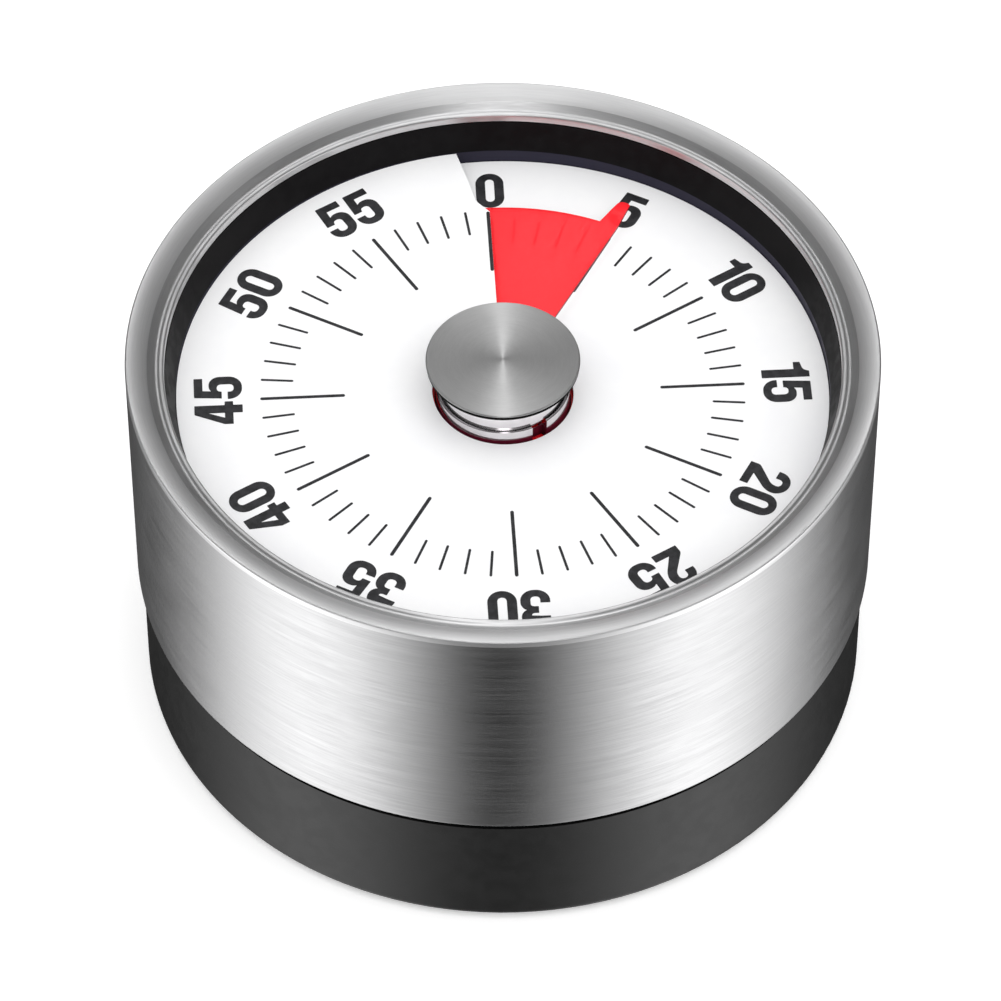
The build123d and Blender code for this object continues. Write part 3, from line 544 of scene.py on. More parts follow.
@dataclass(frozen=True)
class Finish:
    """A finish that is built once as a material of the same name."""

    name: str

    def material(self) -> bpy.types.Material:
        """The material of this finish, built on first use.

        Returns:
            The material.
        """
        made = bpy.data.materials.get(self.name)
        if made is None:
            made = bpy.data.materials.new(self.name)
            made.use_nodes = True
            made.node_tree.nodes.clear()
            graph = Graph(made.node_tree)
            shader = graph.add("ShaderNodeBsdfPrincipled")
            surface = graph.add("ShaderNodeOutputMaterial")
            place = graph.add("ShaderNodeTexCoord").outputs["Object"]
            graph.tree.links.new(shader.outputs[0], surface.inputs["Surface"])
            self.paint(graph, shader, place)
        return made

    def paint(self, graph: Graph, shader: Node, place: Socket) -> None:
        """Feeds the shader. Each finish says how.

        Args:
            graph: The material's graph.
            shader: Its shader.
            place: Place on the piece in metres.
        """
        raise NotImplementedError

    @staticmethod
    def effect(graph: Graph, tree: Tree, **feeds: Feed) -> dict[str, Socket]:
        """Places a shared group in a material.

        Args:
            graph: The material's graph.
            tree: The group.
            feeds: Values of its inputs, with _ for each space of a name.

        Returns:
            Its outputs by name.
        """
        node = graph.add("ShaderNodeGroup", node_tree=tree)
        for name, value in feeds.items():
            graph.feed(node.inputs[name.replace("_", " ")], value)
        return {socket.name: socket for socket in node.outputs}

    @staticmethod
    def bump(graph: Graph, shader: Node, height: Feed, depth: float, strength: float) -> None:
        """Raises a height on the surface.

        Args:
            graph: The material's graph.
            shader: Its shader.
            height: The height, from 0 to 1.
            depth: What a height of 1 stands for, in millimetres.
            strength: Strength of the bump.
        """
        feeds = {"Height": height, "Distance": depth * MM, "Strength": strength}
        graph.feed(shader.inputs["Normal"], graph.add("ShaderNodeBump", feeds).outputs[0])


@dataclass(frozen=True)
class BrushedSteel(Finish):
    """Stainless steel brushed or turned round the upright axis."""

    dark: Colour = (0.57, 0.57, 0.575)
    light: Colour = (0.66, 0.66, 0.665)
    roughness: tuple[float, float] = (0.27, 0.38)
    directional: float = 0.75
    run: float = 3.4
    pitch: float = 5.5
    depth: float = 0.0015

    def paint(self, graph: Graph, shader: Node, place: Socket) -> None:
        """Lines shade the steel, change its roughness and lift its surface a little."""
        brushing = self.effect(graph, EFFECTS.brushing, Place=place, Run=self.run, Pitch=self.pitch)
        handling = self.effect(graph, EFFECTS.handling, Place=place, Size_in_mm=14.0)
        split = graph.add("ShaderNodeSeparateXYZ", {0: place})
        lines = brushing["Lines"]
        colour = graph.blend(lines, self.dark, self.light)
        graph.feed(shader.inputs["Base Color"], colour)
        low, high = self.roughness
        worn = graph.math("MULTIPLY", handling["Smear"], 0.03)
        drift = graph.math("MULTIPLY", brushing["Drift"], 0.03)
        lined = graph.math("ADD", graph.spread(lines, 0.0, 1.0, high, low), drift)
        graph.feed(shader.inputs["Roughness"], graph.math("ADD", lined, worn))
        graph.fill(shader, {"Metallic": 1.0, "Anisotropic": self.directional, "Anisotropic Rotation": 0.25})
        backwards = graph.math("MULTIPLY", split.outputs[1], -1.0)
        along = graph.add("ShaderNodeCombineXYZ", {0: backwards, 1: split.outputs[0]})
        graph.feed(shader.inputs["Tangent"], along.outputs[0])
        self.bump(graph, shader, lines, self.depth, 0.12)


@dataclass(frozen=True)
class PolishedSteel(Finish):
    """Bright chrome, with faint smears in its polish."""

    # the faint pink in this chrome colour is a painted reflection of the red disc
    colour: Colour = (0.9, 0.87, 0.89)
    roughness: float = 0.06

    def paint(self, graph: Graph, shader: Node, place: Socket) -> None:
        """Smears dull the polish in places."""
        handling = self.effect(graph, EFFECTS.handling, Place=place, Size_in_mm=3.0)
        shade = tuple(channel * 0.9 for channel in self.colour)
        colour = graph.blend(handling["Smear"], self.colour, shade)
        graph.feed(shader.inputs["Base Color"], colour)
        rough = graph.spread(handling["Smear"], 0.0, 1.0, self.roughness, self.roughness + 0.07)
        graph.feed(shader.inputs["Roughness"], rough)
        shader.inputs["Metallic"].default_value = 1.0


@dataclass(frozen=True)
class PressedMetal(Finish):
    """Pressed, plated or cast metal inside the case."""

    colour: Colour = grey(0.6)
    tarnished: Colour = grey(0.45)
    roughness: float = 0.3

    def paint(self, graph: Graph, shader: Node, place: Socket) -> None:
        """Tarnish clouds the colour, and scratches cut the gloss."""
        wear = self.effect(graph, EFFECTS.tarnish, Place=place)
        colour = graph.blend(wear["Cloud"], self.colour, self.tarnished)
        graph.feed(shader.inputs["Base Color"], colour)
        rough = graph.math("ADD", graph.math("MULTIPLY", wear["Cloud"], 0.12), self.roughness)
        rough = graph.math("ADD", rough, graph.math("MULTIPLY", wear["Scratches"], 0.1))
        graph.feed(shader.inputs["Roughness"], rough)
        shader.inputs["Metallic"].default_value = 1.0
        self.bump(graph, shader, wear["Scratches"], 0.004, 0.3)


@dataclass(frozen=True)
class MouldedPlastic(Finish):
    """Moulded plastic or rubber, with its tool's fine grain."""

    colour: Colour = grey(0.03)
    fleck: Colour = grey(0.036)
    roughness: tuple[float, float] = (0.34, 0.44)
    cells: float = 5.0
    depth: float = 0.01
    specular: float = 0.3
    sheen: float = 0.0

    def paint(self, graph: Graph, shader: Node, place: Socket) -> None:
        """Grain flecks the colour and breaks up the gloss."""
        grain = self.effect(graph, EFFECTS.grain, Place=place, Cells_per_mm=self.cells)
        handling = self.effect(graph, EFFECTS.handling, Place=place, Size_in_mm=11.0)
        colour = graph.blend(grain["Fleck"], self.colour, self.fleck)
        dusty = tuple(min(1.0, channel * 1.5 + 0.003) for channel in self.fleck)
        share = graph.math("MULTIPLY", handling["Dust"], 0.35)
        graph.feed(shader.inputs["Base Color"], graph.blend(share, colour, dusty))
        low, high = self.roughness
        rough = graph.spread(grain["Fleck"], 0.0, 1.0, low, high)
        smear = graph.math("MULTIPLY", handling["Smear"], -0.02)
        graph.feed(shader.inputs["Roughness"], graph.math("ADD", rough, smear))
        graph.fill(shader, {"Specular IOR Level": self.specular, "Sheen Weight": self.sheen})
        self.bump(graph, shader, grain["Height"], self.depth, 0.5)


@dataclass(frozen=True)
class WellPlastic(MouldedPlastic):
    """Black plastic of the dial well, whose upright foot below the sloping wall is painted a lighter
    blue-grey, a painted reflection of light on that wall.
    """

    foot_colour: Colour = (0.03, 0.028, 0.045)
    foot_top: float = 40.7

    def paint(self, graph: Graph, shader: Node, place: Socket) -> None:
        """Painted reflection: under the foot of the slope the moulding colour gives way to the lighter
        blue-grey one.
        """
        super().paint(graph, shader, place)
        base = shader.inputs["Base Color"]
        colour = base.links[0].from_socket
        height = graph.height(place)
        edge = self.foot_top * MM
        share = graph.spread(height, edge - 0.05 * MM, edge + 0.05 * MM, 1.0, 0.0)
        # painted reflection: the upright foot takes the lighter blue-grey colour
        graph.feed(base, graph.blend(share, colour, self.foot_colour))


@dataclass(frozen=True)
class BasePlastic(MouldedPlastic):
    """Black plastic of the base, with a painted shadow: dead black in the shadow gap and on the lip just
    under it.
    """

    gap_colour: Colour = grey(0.001)
    lip_foot: float = 15.38

    def paint(self, graph: Graph, shader: Node, place: Socket) -> None:
        """Painted shadow: above the foot of the lip the moulding colour and gloss give way to dead black,
        set as metal so that it mirrors nothing.
        """
        super().paint(graph, shader, place)
        height = graph.height(place)
        edge = self.lip_foot * MM
        # painted shadow band: dead black above the foot of the lip, standing for the shade in the gap
        share = graph.spread(height, edge - 0.02 * MM, edge + 0.02 * MM)
        base = shader.inputs["Base Color"]
        graph.feed(base, graph.blend(share, base.links[0].from_socket, self.gap_colour))
        rough = shader.inputs["Roughness"]
        duller = graph.math("MULTIPLY", share, 0.5)
        graph.feed(rough, graph.math("ADD", rough.links[0].from_socket, duller, clamp=True))
        graph.feed(shader.inputs["Metallic"], share)


@dataclass(frozen=True)
class PlatedHub(Finish):
    """Dark red hub whose upper part is plated as brightly as the skirt that it meets."""

    red: Colour = (0.13, 0.008, 0.024)
    # the faint pink in the plating colour is a painted reflection of the red disc, as on the skirt
    plate: Colour = (0.86, 0.83, 0.85)
    edge: float = 40.16

    def paint(self, graph: Graph, shader: Node, place: Socket) -> None:
        """Above the edge of the plating the surface turns from red plastic to chrome."""
        grain = self.effect(graph, EFFECTS.grain, Place=place, Cells_per_mm=5.0)
        handling = self.effect(graph, EFFECTS.handling, Place=place, Size_in_mm=3.0)
        height = graph.height(place)
        line = self.edge * MM
        plated = graph.spread(height, line - 0.03 * MM, line + 0.03 * MM)
        deep = tuple(channel * 0.8 for channel in self.red)
        dull = tuple(channel * 0.9 for channel in self.plate)
        plastic = graph.blend(grain["Fleck"], self.red, deep)
        chrome = graph.blend(handling["Smear"], self.plate, dull)
        graph.feed(shader.inputs["Base Color"], graph.blend(plated, plastic, chrome))
        graph.feed(shader.inputs["Metallic"], plated)
        worn = graph.math("MULTIPLY", handling["Smear"], 0.05)
        gloss = graph.spread(plated, 0.0, 1.0, 0.3, 0.08)
        graph.feed(shader.inputs["Roughness"], graph.math("ADD", gloss, worn))
        shader.inputs["Specular IOR Level"].default_value = 0.35


@dataclass(frozen=True)
class DialPaint(Finish):
    """Smooth white dial sheet."""

    colour: Colour = (0.93, 0.93, 0.935)
    shade: Colour = (0.9, 0.9, 0.915)

    def paint(self, graph: Graph, shader: Node, place: Socket) -> None:
        """A very fine tooth and a slow drift of tone keep the white from looking flat."""
        grain = self.effect(graph, EFFECTS.grain, Place=place, Cells_per_mm=7.0)
        handling = self.effect(graph, EFFECTS.handling, Place=place, Size_in_mm=18.0)
        tone = graph.blend(handling["Smear"], self.colour, self.shade)
        speck = graph.math("MULTIPLY", grain["Fleck"], 0.25)
        graph.feed(shader.inputs["Base Color"], graph.blend(speck, tone, self.shade))
        graph.feed(shader.inputs["Roughness"], graph.spread(grain["Fleck"], 0.0, 1.0, 0.42, 0.5))
        shader.inputs["Specular IOR Level"].default_value = 0.35
        self.bump(graph, shader, grain["Height"], 0.002, 0.25)


@dataclass(frozen=True)
class PrintedInk(Finish):
    """Black printing ink, slightly uneven where the pad laid it."""

    colour: Colour = (0.006, 0.006, 0.008)
    thin: Colour = (0.02, 0.02, 0.024)

    def paint(self, graph: Graph, shader: Node, place: Socket) -> None:
        """Thin spots are a little paler and duller."""
        grain = self.effect(graph, EFFECTS.grain, Place=place, Cells_per_mm=11.0)
        graph.feed(shader.inputs["Base Color"], graph.blend(grain["Fleck"], self.colour, self.thin))
        graph.feed(shader.inputs["Roughness"], graph.spread(grain["Height"], 0.3, 0.7, 0.4, 0.6))
        self.bump(graph, shader, grain["Height"], 0.004, 0.4)


@dataclass(frozen=True)
class TintedFilm(Finish):
    """Red film that lets the print below show faintly, with darker cut edges."""

    colour: Colour = (1.0, 0.012, 0.022)
    edge: Colour = (0.25, 0.008, 0.016)
    cover: float = 0.84

    def paint(self, graph: Graph, shader: Node, place: Socket) -> None:
        """The upper face tints what lies below, and the upright cut edges take the darker red."""
        handling = self.effect(graph, EFFECTS.handling, Place=place, Size_in_mm=6.0)
        deep = tuple(channel * 0.96 for channel in self.colour)
        tone = graph.blend(handling["Smear"], self.colour, deep)
        normal = graph.add("ShaderNodeNewGeometry").outputs["True Normal"]
        facing = graph.height(normal)
        side = graph.spread(graph.math("ABSOLUTE", facing), 0.3, 0.7, 1.0, 0.0)
        upper = graph.spread(facing, 0.3, 0.7, 0.0, self.cover)
        graph.feed(shader.inputs["Base Color"], graph.blend(side, tone, self.edge))
        graph.feed(shader.inputs["Alpha"], graph.math("ADD", upper, side, clamp=True))
        graph.feed(shader.inputs["Roughness"], graph.spread(handling["Smear"], 0.0, 1.0, 0.36, 0.44))
        shader.inputs["Specular IOR Level"].default_value = 0.2


@dataclass(frozen=True)
class StudioSweep(Finish):
    """Pale matt floor of the studio, lit a little from below."""

    colour: Colour = grey(0.95)
    lift: float = 0.3

    def paint(self, graph: Graph, shader: Node, place: Socket) -> None:
        """A slow drift of tone."""
        drift = graph.noise(place, 3.0, 2.0)
        shade = tuple(channel * 0.995 for channel in self.colour)
        graph.feed(shader.inputs["Base Color"], graph.blend(drift, self.colour, shade))
        graph.fill(shader, {"Roughness": 0.9, "Specular IOR Level": 0.0})
        graph.fill(shader, {"Emission Color": grey(1.0), "Emission Strength": self.lift})


# --- Sub-assemblies ---


@dataclass
class SteelShell:
    """The drawn steel shell: brushed side, domed bezel and turned lip."""

    wall: float = 0.6
    corner: float = 0.6
    bezel_width: float = 4.0
    bezel_drop: float = 1.3
    bead_width: float = 0.5
    bead_rise: float = 0.28
    bead_rounding: float = 0.22
    groove_width: float = 0.3
    groove_rise: float = 0.1
    groove_rounding: float = 0.26
    crest_reach: float = 1.9
    crest_rise: float = 1.22
    crest_rounding: float = 1.1
    foot_rounding: float = 0.14
    hold: float = 0.1
    brushed: Finish = BrushedSteel("brushed_shell_steel")
    # lighter copy of the shell steel for the bezel: partly its satin finish, partly a painted highlight on
    # the top
    satin: Finish = BrushedSteel(
        "satin_bezel_steel_painted_highlight",
        dark=(0.8, 0.8, 0.805),
        light=(0.86, 0.86, 0.865),
        roughness=(0.4, 0.43),
        directional=0.3,
        depth=0.0005,
    )

    def build(self) -> None:
        """Turns the shell's section and rounds its corners."""
        box = box_of("steel_shell")
        lip = box.radius - self.bezel_width
        lip_top = box.high - self.bezel_drop
        inner = box.radius - self.wall
        bead = lip + self.bead_width
        groove = bead + self.groove_width
        section = [
            (box.radius, box.low),
            (box.radius, box.low + 2 * self.foot_rounding),
            (box.radius, box.high - self.corner - self.hold),
            (box.radius, box.high),
            (groove + self.crest_reach, lip_top + self.crest_rise),
            (groove, lip_top + self.groove_rise),
            (bead, lip_top + self.bead_rise),
            (lip, lip_top + self.bead_rise),
            (lip, lip_top - self.wall),
            (groove, lip_top + self.groove_rise - self.wall),
            (inner, box.high - self.corner - self.wall / 2),
            (inner, box.low),
        ]
        mesh = turned(section)
        round_ring(mesh, section[4], self.crest_rounding, 8)
        round_ring(mesh, section[3], self.corner, 6)
        round_ring(mesh, section[5], self.groove_rounding, 5)
        round_ring(mesh, section[6], self.bead_rounding, 5)
        round_ring(mesh, section[7], self.bead_rounding, 5)
        round_ring(mesh, section[0], self.foot_rounding, 3)
        piece = show(mesh, "shell_skin", self.brushed, Body.CASE, ["steel_shell"], 50.0)
        piece.data.materials.append(self.satin.material())
        # upward faces take the lighter satin copy: partly the bezel's finish, partly a painted highlight on
        # the top
        for face in piece.data.polygons:
            if face.center.z > (box.high - self.corner) * MM:
                face.material_index = 1


@dataclass
class Dial:
    """The white ramp dial with its printed marks and numerals."""

    rise: float = 1.57
    thickness: float = 0.5
    bore: float = 7.35
    cut_corner: float = 25.0
    cut_jog: float = 26.7
    jog_angle: float = 3.0
    rim_angle: float = 5.3
    ink_thickness: float = 0.02
    ink_lift: float = 0.008
    numeral_foot: float = 27.05
    digit_gap: float = 0.34
    zero_shift: float = 0.5
    minute_angle: float = 6.0
    end_rounding: float = 0.9
    support_radii: tuple[float, float] = (16.0, 30.0)
    steps: int = 360
    sheet: Finish = DialPaint("dial_sheet_white")
    ink: Finish = PrintedInk("dial_ink_black")

    def build(self) -> None:
        """Builds the sheet, then prints the marks and numerals on it."""
        box = box_of("dial_plate")
        self.low = box.high - self.rise
        self.rim = box.radius
        inner, outer = self.support_radii
        radii = (self.bore, inner, self.cut_corner, self.cut_jog, outer, self.rim)
        mesh = ramp(radii, 0.0, self.low, self.thickness, self.rise, self.steps)
        self.swing(mesh)
        show(mesh, "dial_sheet", self.sheet, Body.CASE, ["dial_plate"])
        marks = join(self.mark(minute) for minute in range(61))
        show(marks, "dial_marks", self.ink, Body.CASE)
        numerals = join(self.numeral(minute) for minute in range(0, 60, 5))
        show(numerals, "dial_numerals", self.ink, Body.CASE)

    def cut_angle(self, radius: float) -> float:
        """Finds how far the cut has stepped back from the 0 mark.

        Args:
            radius: Radius on the dial.

        Returns:
            The angle in degrees.
        """
        if radius <= self.cut_corner:
            return 0.0
        if radius <= self.cut_jog:
            return self.jog_angle * (radius - self.cut_corner) / (self.cut_jog - self.cut_corner)
        share = (radius - self.cut_jog) / (self.rim - self.cut_jog)
        return self.jog_angle + (self.rim_angle - self.jog_angle) * share

    def swing(self, mesh: Mesh) -> None:
        """Swings each row of the ramp back along itself, so that its ends follow the cut."""
        for vert in mesh.verts:
            back = self.cut_angle(math.hypot(vert.co.x, vert.co.y) / MM)
            vert.co.rotate(Matrix.Rotation(math.radians(back), 3, "Z"))
            vert.co.z -= self.rise * MM * back / 360

    def lay(self, mesh: Mesh, angle: float) -> Mesh:
        """Turns a print that was drawn at the 0 mark to its dial angle and lays it on the ramp.

        Args:
            mesh: The print.
            angle: Its dial angle in degrees.

        Returns:
            The same print.
        """
        for vert in mesh.verts:
            height = self.low + self.ink_lift + self.rise * (angle + dial_angle(vert.co)) / 360
            vert.co.z += height * MM
        turn = Matrix.Rotation(-math.radians(angle), 3, "Z")
        bmesh.ops.rotate(mesh, verts=mesh.verts, cent=(0, 0, 0), matrix=turn)
        return mesh

    def mark(self, minute: int) -> Mesh:
        """One line of the minute scale, with round ends; the first and last lie beside the cut.

        Args:
            minute: Its minute, from 0 to 60.

        Returns:
            The line as a mesh.
        """
        kind = Mark.MINUTE if minute % 5 else Mark.FIVE_MINUTE
        inner, outer, width = kind.value
        half = width / 2
        aside = {0: half, 60: -half - self.ink_lift}.get(minute, 0.0)
        outer = min(outer, self.cut_corner) if minute == 60 else outer
        left, right = aside - half, aside + half
        rounding = half * self.end_rounding
        corners = [(left, inner), (right, inner), (right, outer), (left, outer)]
        contour = [(x, y, rounding) for x, y in corners]
        return self.lay(plate([contour], self.ink_thickness), minute * self.minute_angle)

    def numeral(self, minute: int) -> Mesh:
        """The numeral of a five-minute mark, its foot towards the knob.

        Args:
            minute: Its minute, from 0 to 55.

        Returns:
            The numeral as a mesh.
        """
        digits = [DIGITS[character] for character in str(minute)]
        width = sum(digit.width for digit in digits) + self.digit_gap * (len(digits) - 1)
        left = -width / 2
        prints = []
        for digit in digits:
            contours = [
                [(left + x, self.numeral_foot + y, rounding) for x, y, rounding in contour]
                for contour in digit.contours
            ]
            prints.append(plate(contours, self.ink_thickness))
            left += digit.width + self.digit_gap
        return self.lay(join(prints), minute * self.minute_angle if minute else self.zero_shift)


@dataclass(frozen=True)
class Digit:
    """A digit in heavy condensed letters, as closed contours of x, y and corner rounding."""

    width: float
    contours: tuple[Contour, ...]


def make_digit(width: float, *contours: Sequence[Sequence[float]]) -> Digit:
    """Makes a digit whose corners are nearly sharp where they give no rounding.

    Args:
        width: Width of the digit.
        contours: Corners of each contour.

    Returns:
        The digit.
    """
    full = (tuple((*corner, SHARP_CORNER)[:3] for corner in contour) for contour in contours)
    return Digit(width, tuple(full))


DIGITS = {
    "0": make_digit(
        3.0,
        [(0, 0, 1.48), (3.0, 0, 1.48), (3.0, 5, 1.48), (0, 5, 1.48)],
        [(1.02, 0.86, 0.47), (1.98, 0.86, 0.47), (1.98, 4.14, 0.47), (1.02, 4.14, 0.47)],
    ),
    "1": make_digit(
        2.1,
        [(0.98, 0), (2.1, 0), (2.1, 5), (1.3, 5), (1.05, 4.35, 0.3), (0.0, 4.1), (0.0, 3.4),
         (0.98, 3.4)],
    ),
    "2": make_digit(
        3.0,
        [(0, 0), (2.95, 0), (2.95, 0.9), (1.35, 0.9), (3.0, 2.95, 0.8), (3.0, 5, 1.45),
         (0.03, 5, 1.45), (0.03, 3.25), (1.02, 3.25), (1.02, 4.16, 0.42), (1.98, 4.16, 0.42),
         (1.98, 3.2, 0.4), (0, 1.05, 0.2)],
    ),
    "3": make_digit(
        3.02,
        [(0, 1.68), (0, 0, 1.4), (3.02, 0, 1.4), (3.02, 2.38, 0.75), (2.4, 2.6), (2.98, 2.88, 0.6),
         (2.98, 5, 1.4), (0.04, 5, 1.4), (0.04, 3.42), (1.02, 3.42), (1.02, 4.16, 0.4),
         (1.96, 4.16, 0.42), (1.96, 3.02, 0.32), (1.2, 3.02), (1.2, 2.15), (2.0, 2.15, 0.32),
         (2.0, 0.86, 0.42), (1.0, 0.86, 0.4), (1.0, 1.68)],
    ),
    "4": make_digit(
        3.1,
        [(1.55, 0), (2.6, 0), (2.6, 0.98), (3.1, 0.98), (3.1, 1.85), (2.6, 1.85), (2.6, 5), (1.38, 5),
         (0, 1.9), (0, 0.98), (1.55, 0.98)],
        [(0.86, 1.85), (1.55, 1.85), (1.55, 3.55)],
    ),
    "5": make_digit(
        3.08,
        [(0.3, 5), (2.9, 5), (2.9, 4.1), (1.2, 4.1), (1.13, 3.2), (1.45, 3.45, 0.25),
         (3.08, 3.45, 1.12), (3.08, 0, 1.4), (0, 0, 1.4), (0, 1.5), (1.0, 1.5), (1.0, 0.86, 0.4),
         (2.04, 0.86, 0.42), (2.04, 2.62, 0.42), (1.06, 2.62, 0.35), (1.04, 2.12), (0.1, 2.12)],
    ),
}


@dataclass
class TimeDisc:
    """The red film that screws up through the dial's cut, with its pointer and bore keys."""

    rise: float = 1.57
    thickness: float = 0.3
    bore: float = 7.1
    radius: float = 26.4
    set_angle: float = 30.0
    lead_angle: float = 30.7
    pointer_reach: float = 30.0
    pointer_sweep: float = 3.1
    foot_sweep: float = 4.4
    corner_sweep: float = 1.1
    corner_drop: float = 0.5
    key_reach: float = 6.3
    key_half_sweep: float = 6.0
    key_offsets: tuple[float, float] = (60.7, 240.7)
    steps: int = 720
    film: Finish = TintedFilm("red_film")

    def build(self) -> None:
        """Turns the ramp, then draws its rim out to the pointer and its bore in to the keys."""
        lead_top = box_of("time_disc").high
        top = lead_top - self.rise * self.set_angle / 360
        radii = (self.bore, 8.5, 16.0, 25.4, self.radius)
        mesh = ramp(radii, self.lead_angle - 360, top, self.thickness, self.rise, self.steps)
        for vert in mesh.verts:
            radius = math.hypot(vert.co.x, vert.co.y) / MM
            behind = (self.lead_angle - dial_angle(vert.co)) % 360
            near_start = vert.co.z / MM < lead_top - self.rise / 2
            if behind > 359.99 or (behind < 0.01 and near_start):
                behind = 360.0
            if radius > self.radius - 0.01:
                self.stretch(vert, self.rim_radius(behind) / radius)
            if radius < self.bore + 0.01:
                self.stretch(vert, self.bore_radius(behind) / radius)
        show(mesh, "disc_film", self.film, Body.DISC, ["time_disc"])

    @staticmethod
    def stretch(vert: Vert, share: float) -> None:
        """Moves a vertex along its radius."""
        vert.co.x *= share
        vert.co.y *= share

    def rim_radius(self, behind: float) -> float:
        """Finds the rim's radius.

        Args:
            behind: Angle behind the leading edge in degrees.

        Returns:
            The radius, larger along the pointer.
        """
        length = self.pointer_reach - self.radius
        if behind <= self.pointer_sweep:
            near_lead = max(0.0, 1.0 - behind / self.corner_sweep)
            near_tail = max(0.0, 1.0 - (self.pointer_sweep - behind) / self.corner_sweep)
            return self.pointer_reach - self.corner_drop * (near_lead**2 + near_tail**2)
        if behind <= self.foot_sweep:
            share = (behind - self.pointer_sweep) / (self.foot_sweep - self.pointer_sweep)
            return self.pointer_reach - self.corner_drop - (length - self.corner_drop) * share
        return self.radius

    def bore_radius(self, behind: float) -> float:
        """The bore's radius at an angle behind the leading edge."""
        near_key = any(abs(behind - offset) <= self.key_half_sweep for offset in self.key_offsets)
        return self.key_reach if near_key else self.bore


@dataclass
class Knob:
    """The turned cap, the polished skirt under it and the red hub at its foot."""

    cap_edge: float = 0.12
    seat_height: float = 0.4
    seat_inset: float = 0.06
    neck_depth: float = 0.5
    neck_height: float = 0.25
    arbor_radius: float = 1.6
    arbor_cover: float = 0.8
    shoulder_rounding: float = 0.12
    foot_rounding: float = 0.03
    steps: int = 192
    cap_steel: Finish = BrushedSteel(
        "turned_cap_steel",
        dark=grey(0.47),
        light=grey(0.51),
        roughness=(0.35, 0.38),
        directional=0.95,
        run=3.0,
        pitch=7.0,
        depth=0.001,
    )
    # dead black seat ring: partly a seat part, partly a painted shadow line under the cap's edge
    seat_black: Finish = MouldedPlastic(
        "cap_seat_painted_shadow", colour=grey(0.003), fleck=grey(0.005), specular=0.02
    )
    chrome: Finish = PolishedSteel("skirt_polish")
    hub_finish: Finish = PlatedHub("hub_plated_red")

    def build(self) -> None:
        """Builds the cap and the skirt, and dresses the hub."""
        cap = box_of("knob_cap")
        seat = cap.low + self.seat_height
        flat = cap.radius - 2 * self.cap_edge
        side = [(cap.radius, seat), (cap.radius, cap.high)]
        section = [(0.0, seat), *side, (flat, cap.high), (0.0, cap.high)]
        mesh = turned(section, self.steps)
        round_ring(mesh, section[2], self.cap_edge, 3)
        round_ring(mesh, section[1], self.cap_edge / 2, 2)
        show(mesh, "cap_face", self.cap_steel, Body.KNOB, ["knob_cap"])
        # The black seat ring under the cap is partly a seat part and partly a painted shadow line under the
        # cap's edge, dead black with almost no gloss.
        rim = cap.radius - self.seat_inset
        section = [(0.0, cap.low), (rim, cap.low), (rim, seat), (0.0, seat)]
        mesh = turned(section, self.steps)
        show(mesh, "cap_seat", self.seat_black, Body.KNOB, ["knob_cap"])
        skirt = box_of("knob_skirt")
        neck = skirt.radius - self.neck_depth
        shoulder = skirt.high - self.neck_height
        floor = skirt.high - self.arbor_cover
        section = [
            (self.arbor_radius, skirt.low),
            (skirt.radius, skirt.low),
            (skirt.radius, shoulder),
            (neck, shoulder),
            (neck, skirt.high),
            (0.0, skirt.high),
            (0.0, floor),
            (self.arbor_radius, floor),
        ]
        mesh = turned(section, self.steps)
        round_ring(mesh, section[2], self.shoulder_rounding, 3)
        round_ring(mesh, section[1], self.foot_rounding, 2)
        show(mesh, "skirt_collar", self.chrome, Body.KNOB, ["knob_skirt"])
        dress(self.hub_finish, "disc_hub")


@dataclass
class Underside:
    """The black base, its rubber foot, the magnet and the case screws."""

    rib_depth: float = 0.25
    rib_count: int = 3
    ring_width: float = 1.8
    steps: int = 192
    base_plastic: Finish = BasePlastic(
        "base_black_plastic",
        colour=grey(0.0095),
        fleck=grey(0.011),
        roughness=(0.38, 0.42),
    )
    rubber: Finish = MouldedPlastic(
        "foot_black_rubber",
        colour=grey(0.02),
        fleck=grey(0.03),
        roughness=(0.7, 0.85),
        sheen=0.1,
    )
    ferrite: Finish = MouldedPlastic(
        "magnet_ferrite",
        colour=(0.045, 0.045, 0.05),
        fleck=(0.07, 0.07, 0.075),
        roughness=(0.5, 0.62),
        cells=3.0,
    )
    plated: Finish = PressedMetal(
        "plated_steel_bright", colour=(0.62, 0.62, 0.6), tarnished=(0.5, 0.5, 0.47), roughness=0.24
    )

    def build(self) -> None:
        """Builds the ribbed foot ring and dresses the rest."""
        box = box_of("foot_ring")
        inner = box.radius - self.ring_width
        rib = self.ring_width / (2 * self.rib_count - 1)
        section = [(inner, box.high)]
        for step in range(2 * self.rib_count - 1):
            height = box.low if step % 2 == 0 else box.low + self.rib_depth
            section.append((inner + step * rib, height))
            section.append((inner + (step + 1) * rib, height))
        section.append((box.radius, box.high))
        mesh = turned(section, self.steps)
        show(mesh, "foot_tread", self.rubber, Body.CASE, ["foot_ring"])
        dress(self.base_plastic, "base")
        dress(self.ferrite, "magnet")
        dress(self.plated, "magnet_cup", "case_screws")


@dataclass
class Well:
    """The black well round the dial."""

    plastic: Finish = WellPlastic(
        "well_black_plastic",
        colour=(0.006, 0.0055, 0.006),
        fleck=(0.008, 0.0075, 0.008),
        roughness=(0.42, 0.52),
        specular=0.05,
    )

    def build(self) -> None:
        """Dresses the well."""
        dress(self.plastic, "dial_well")


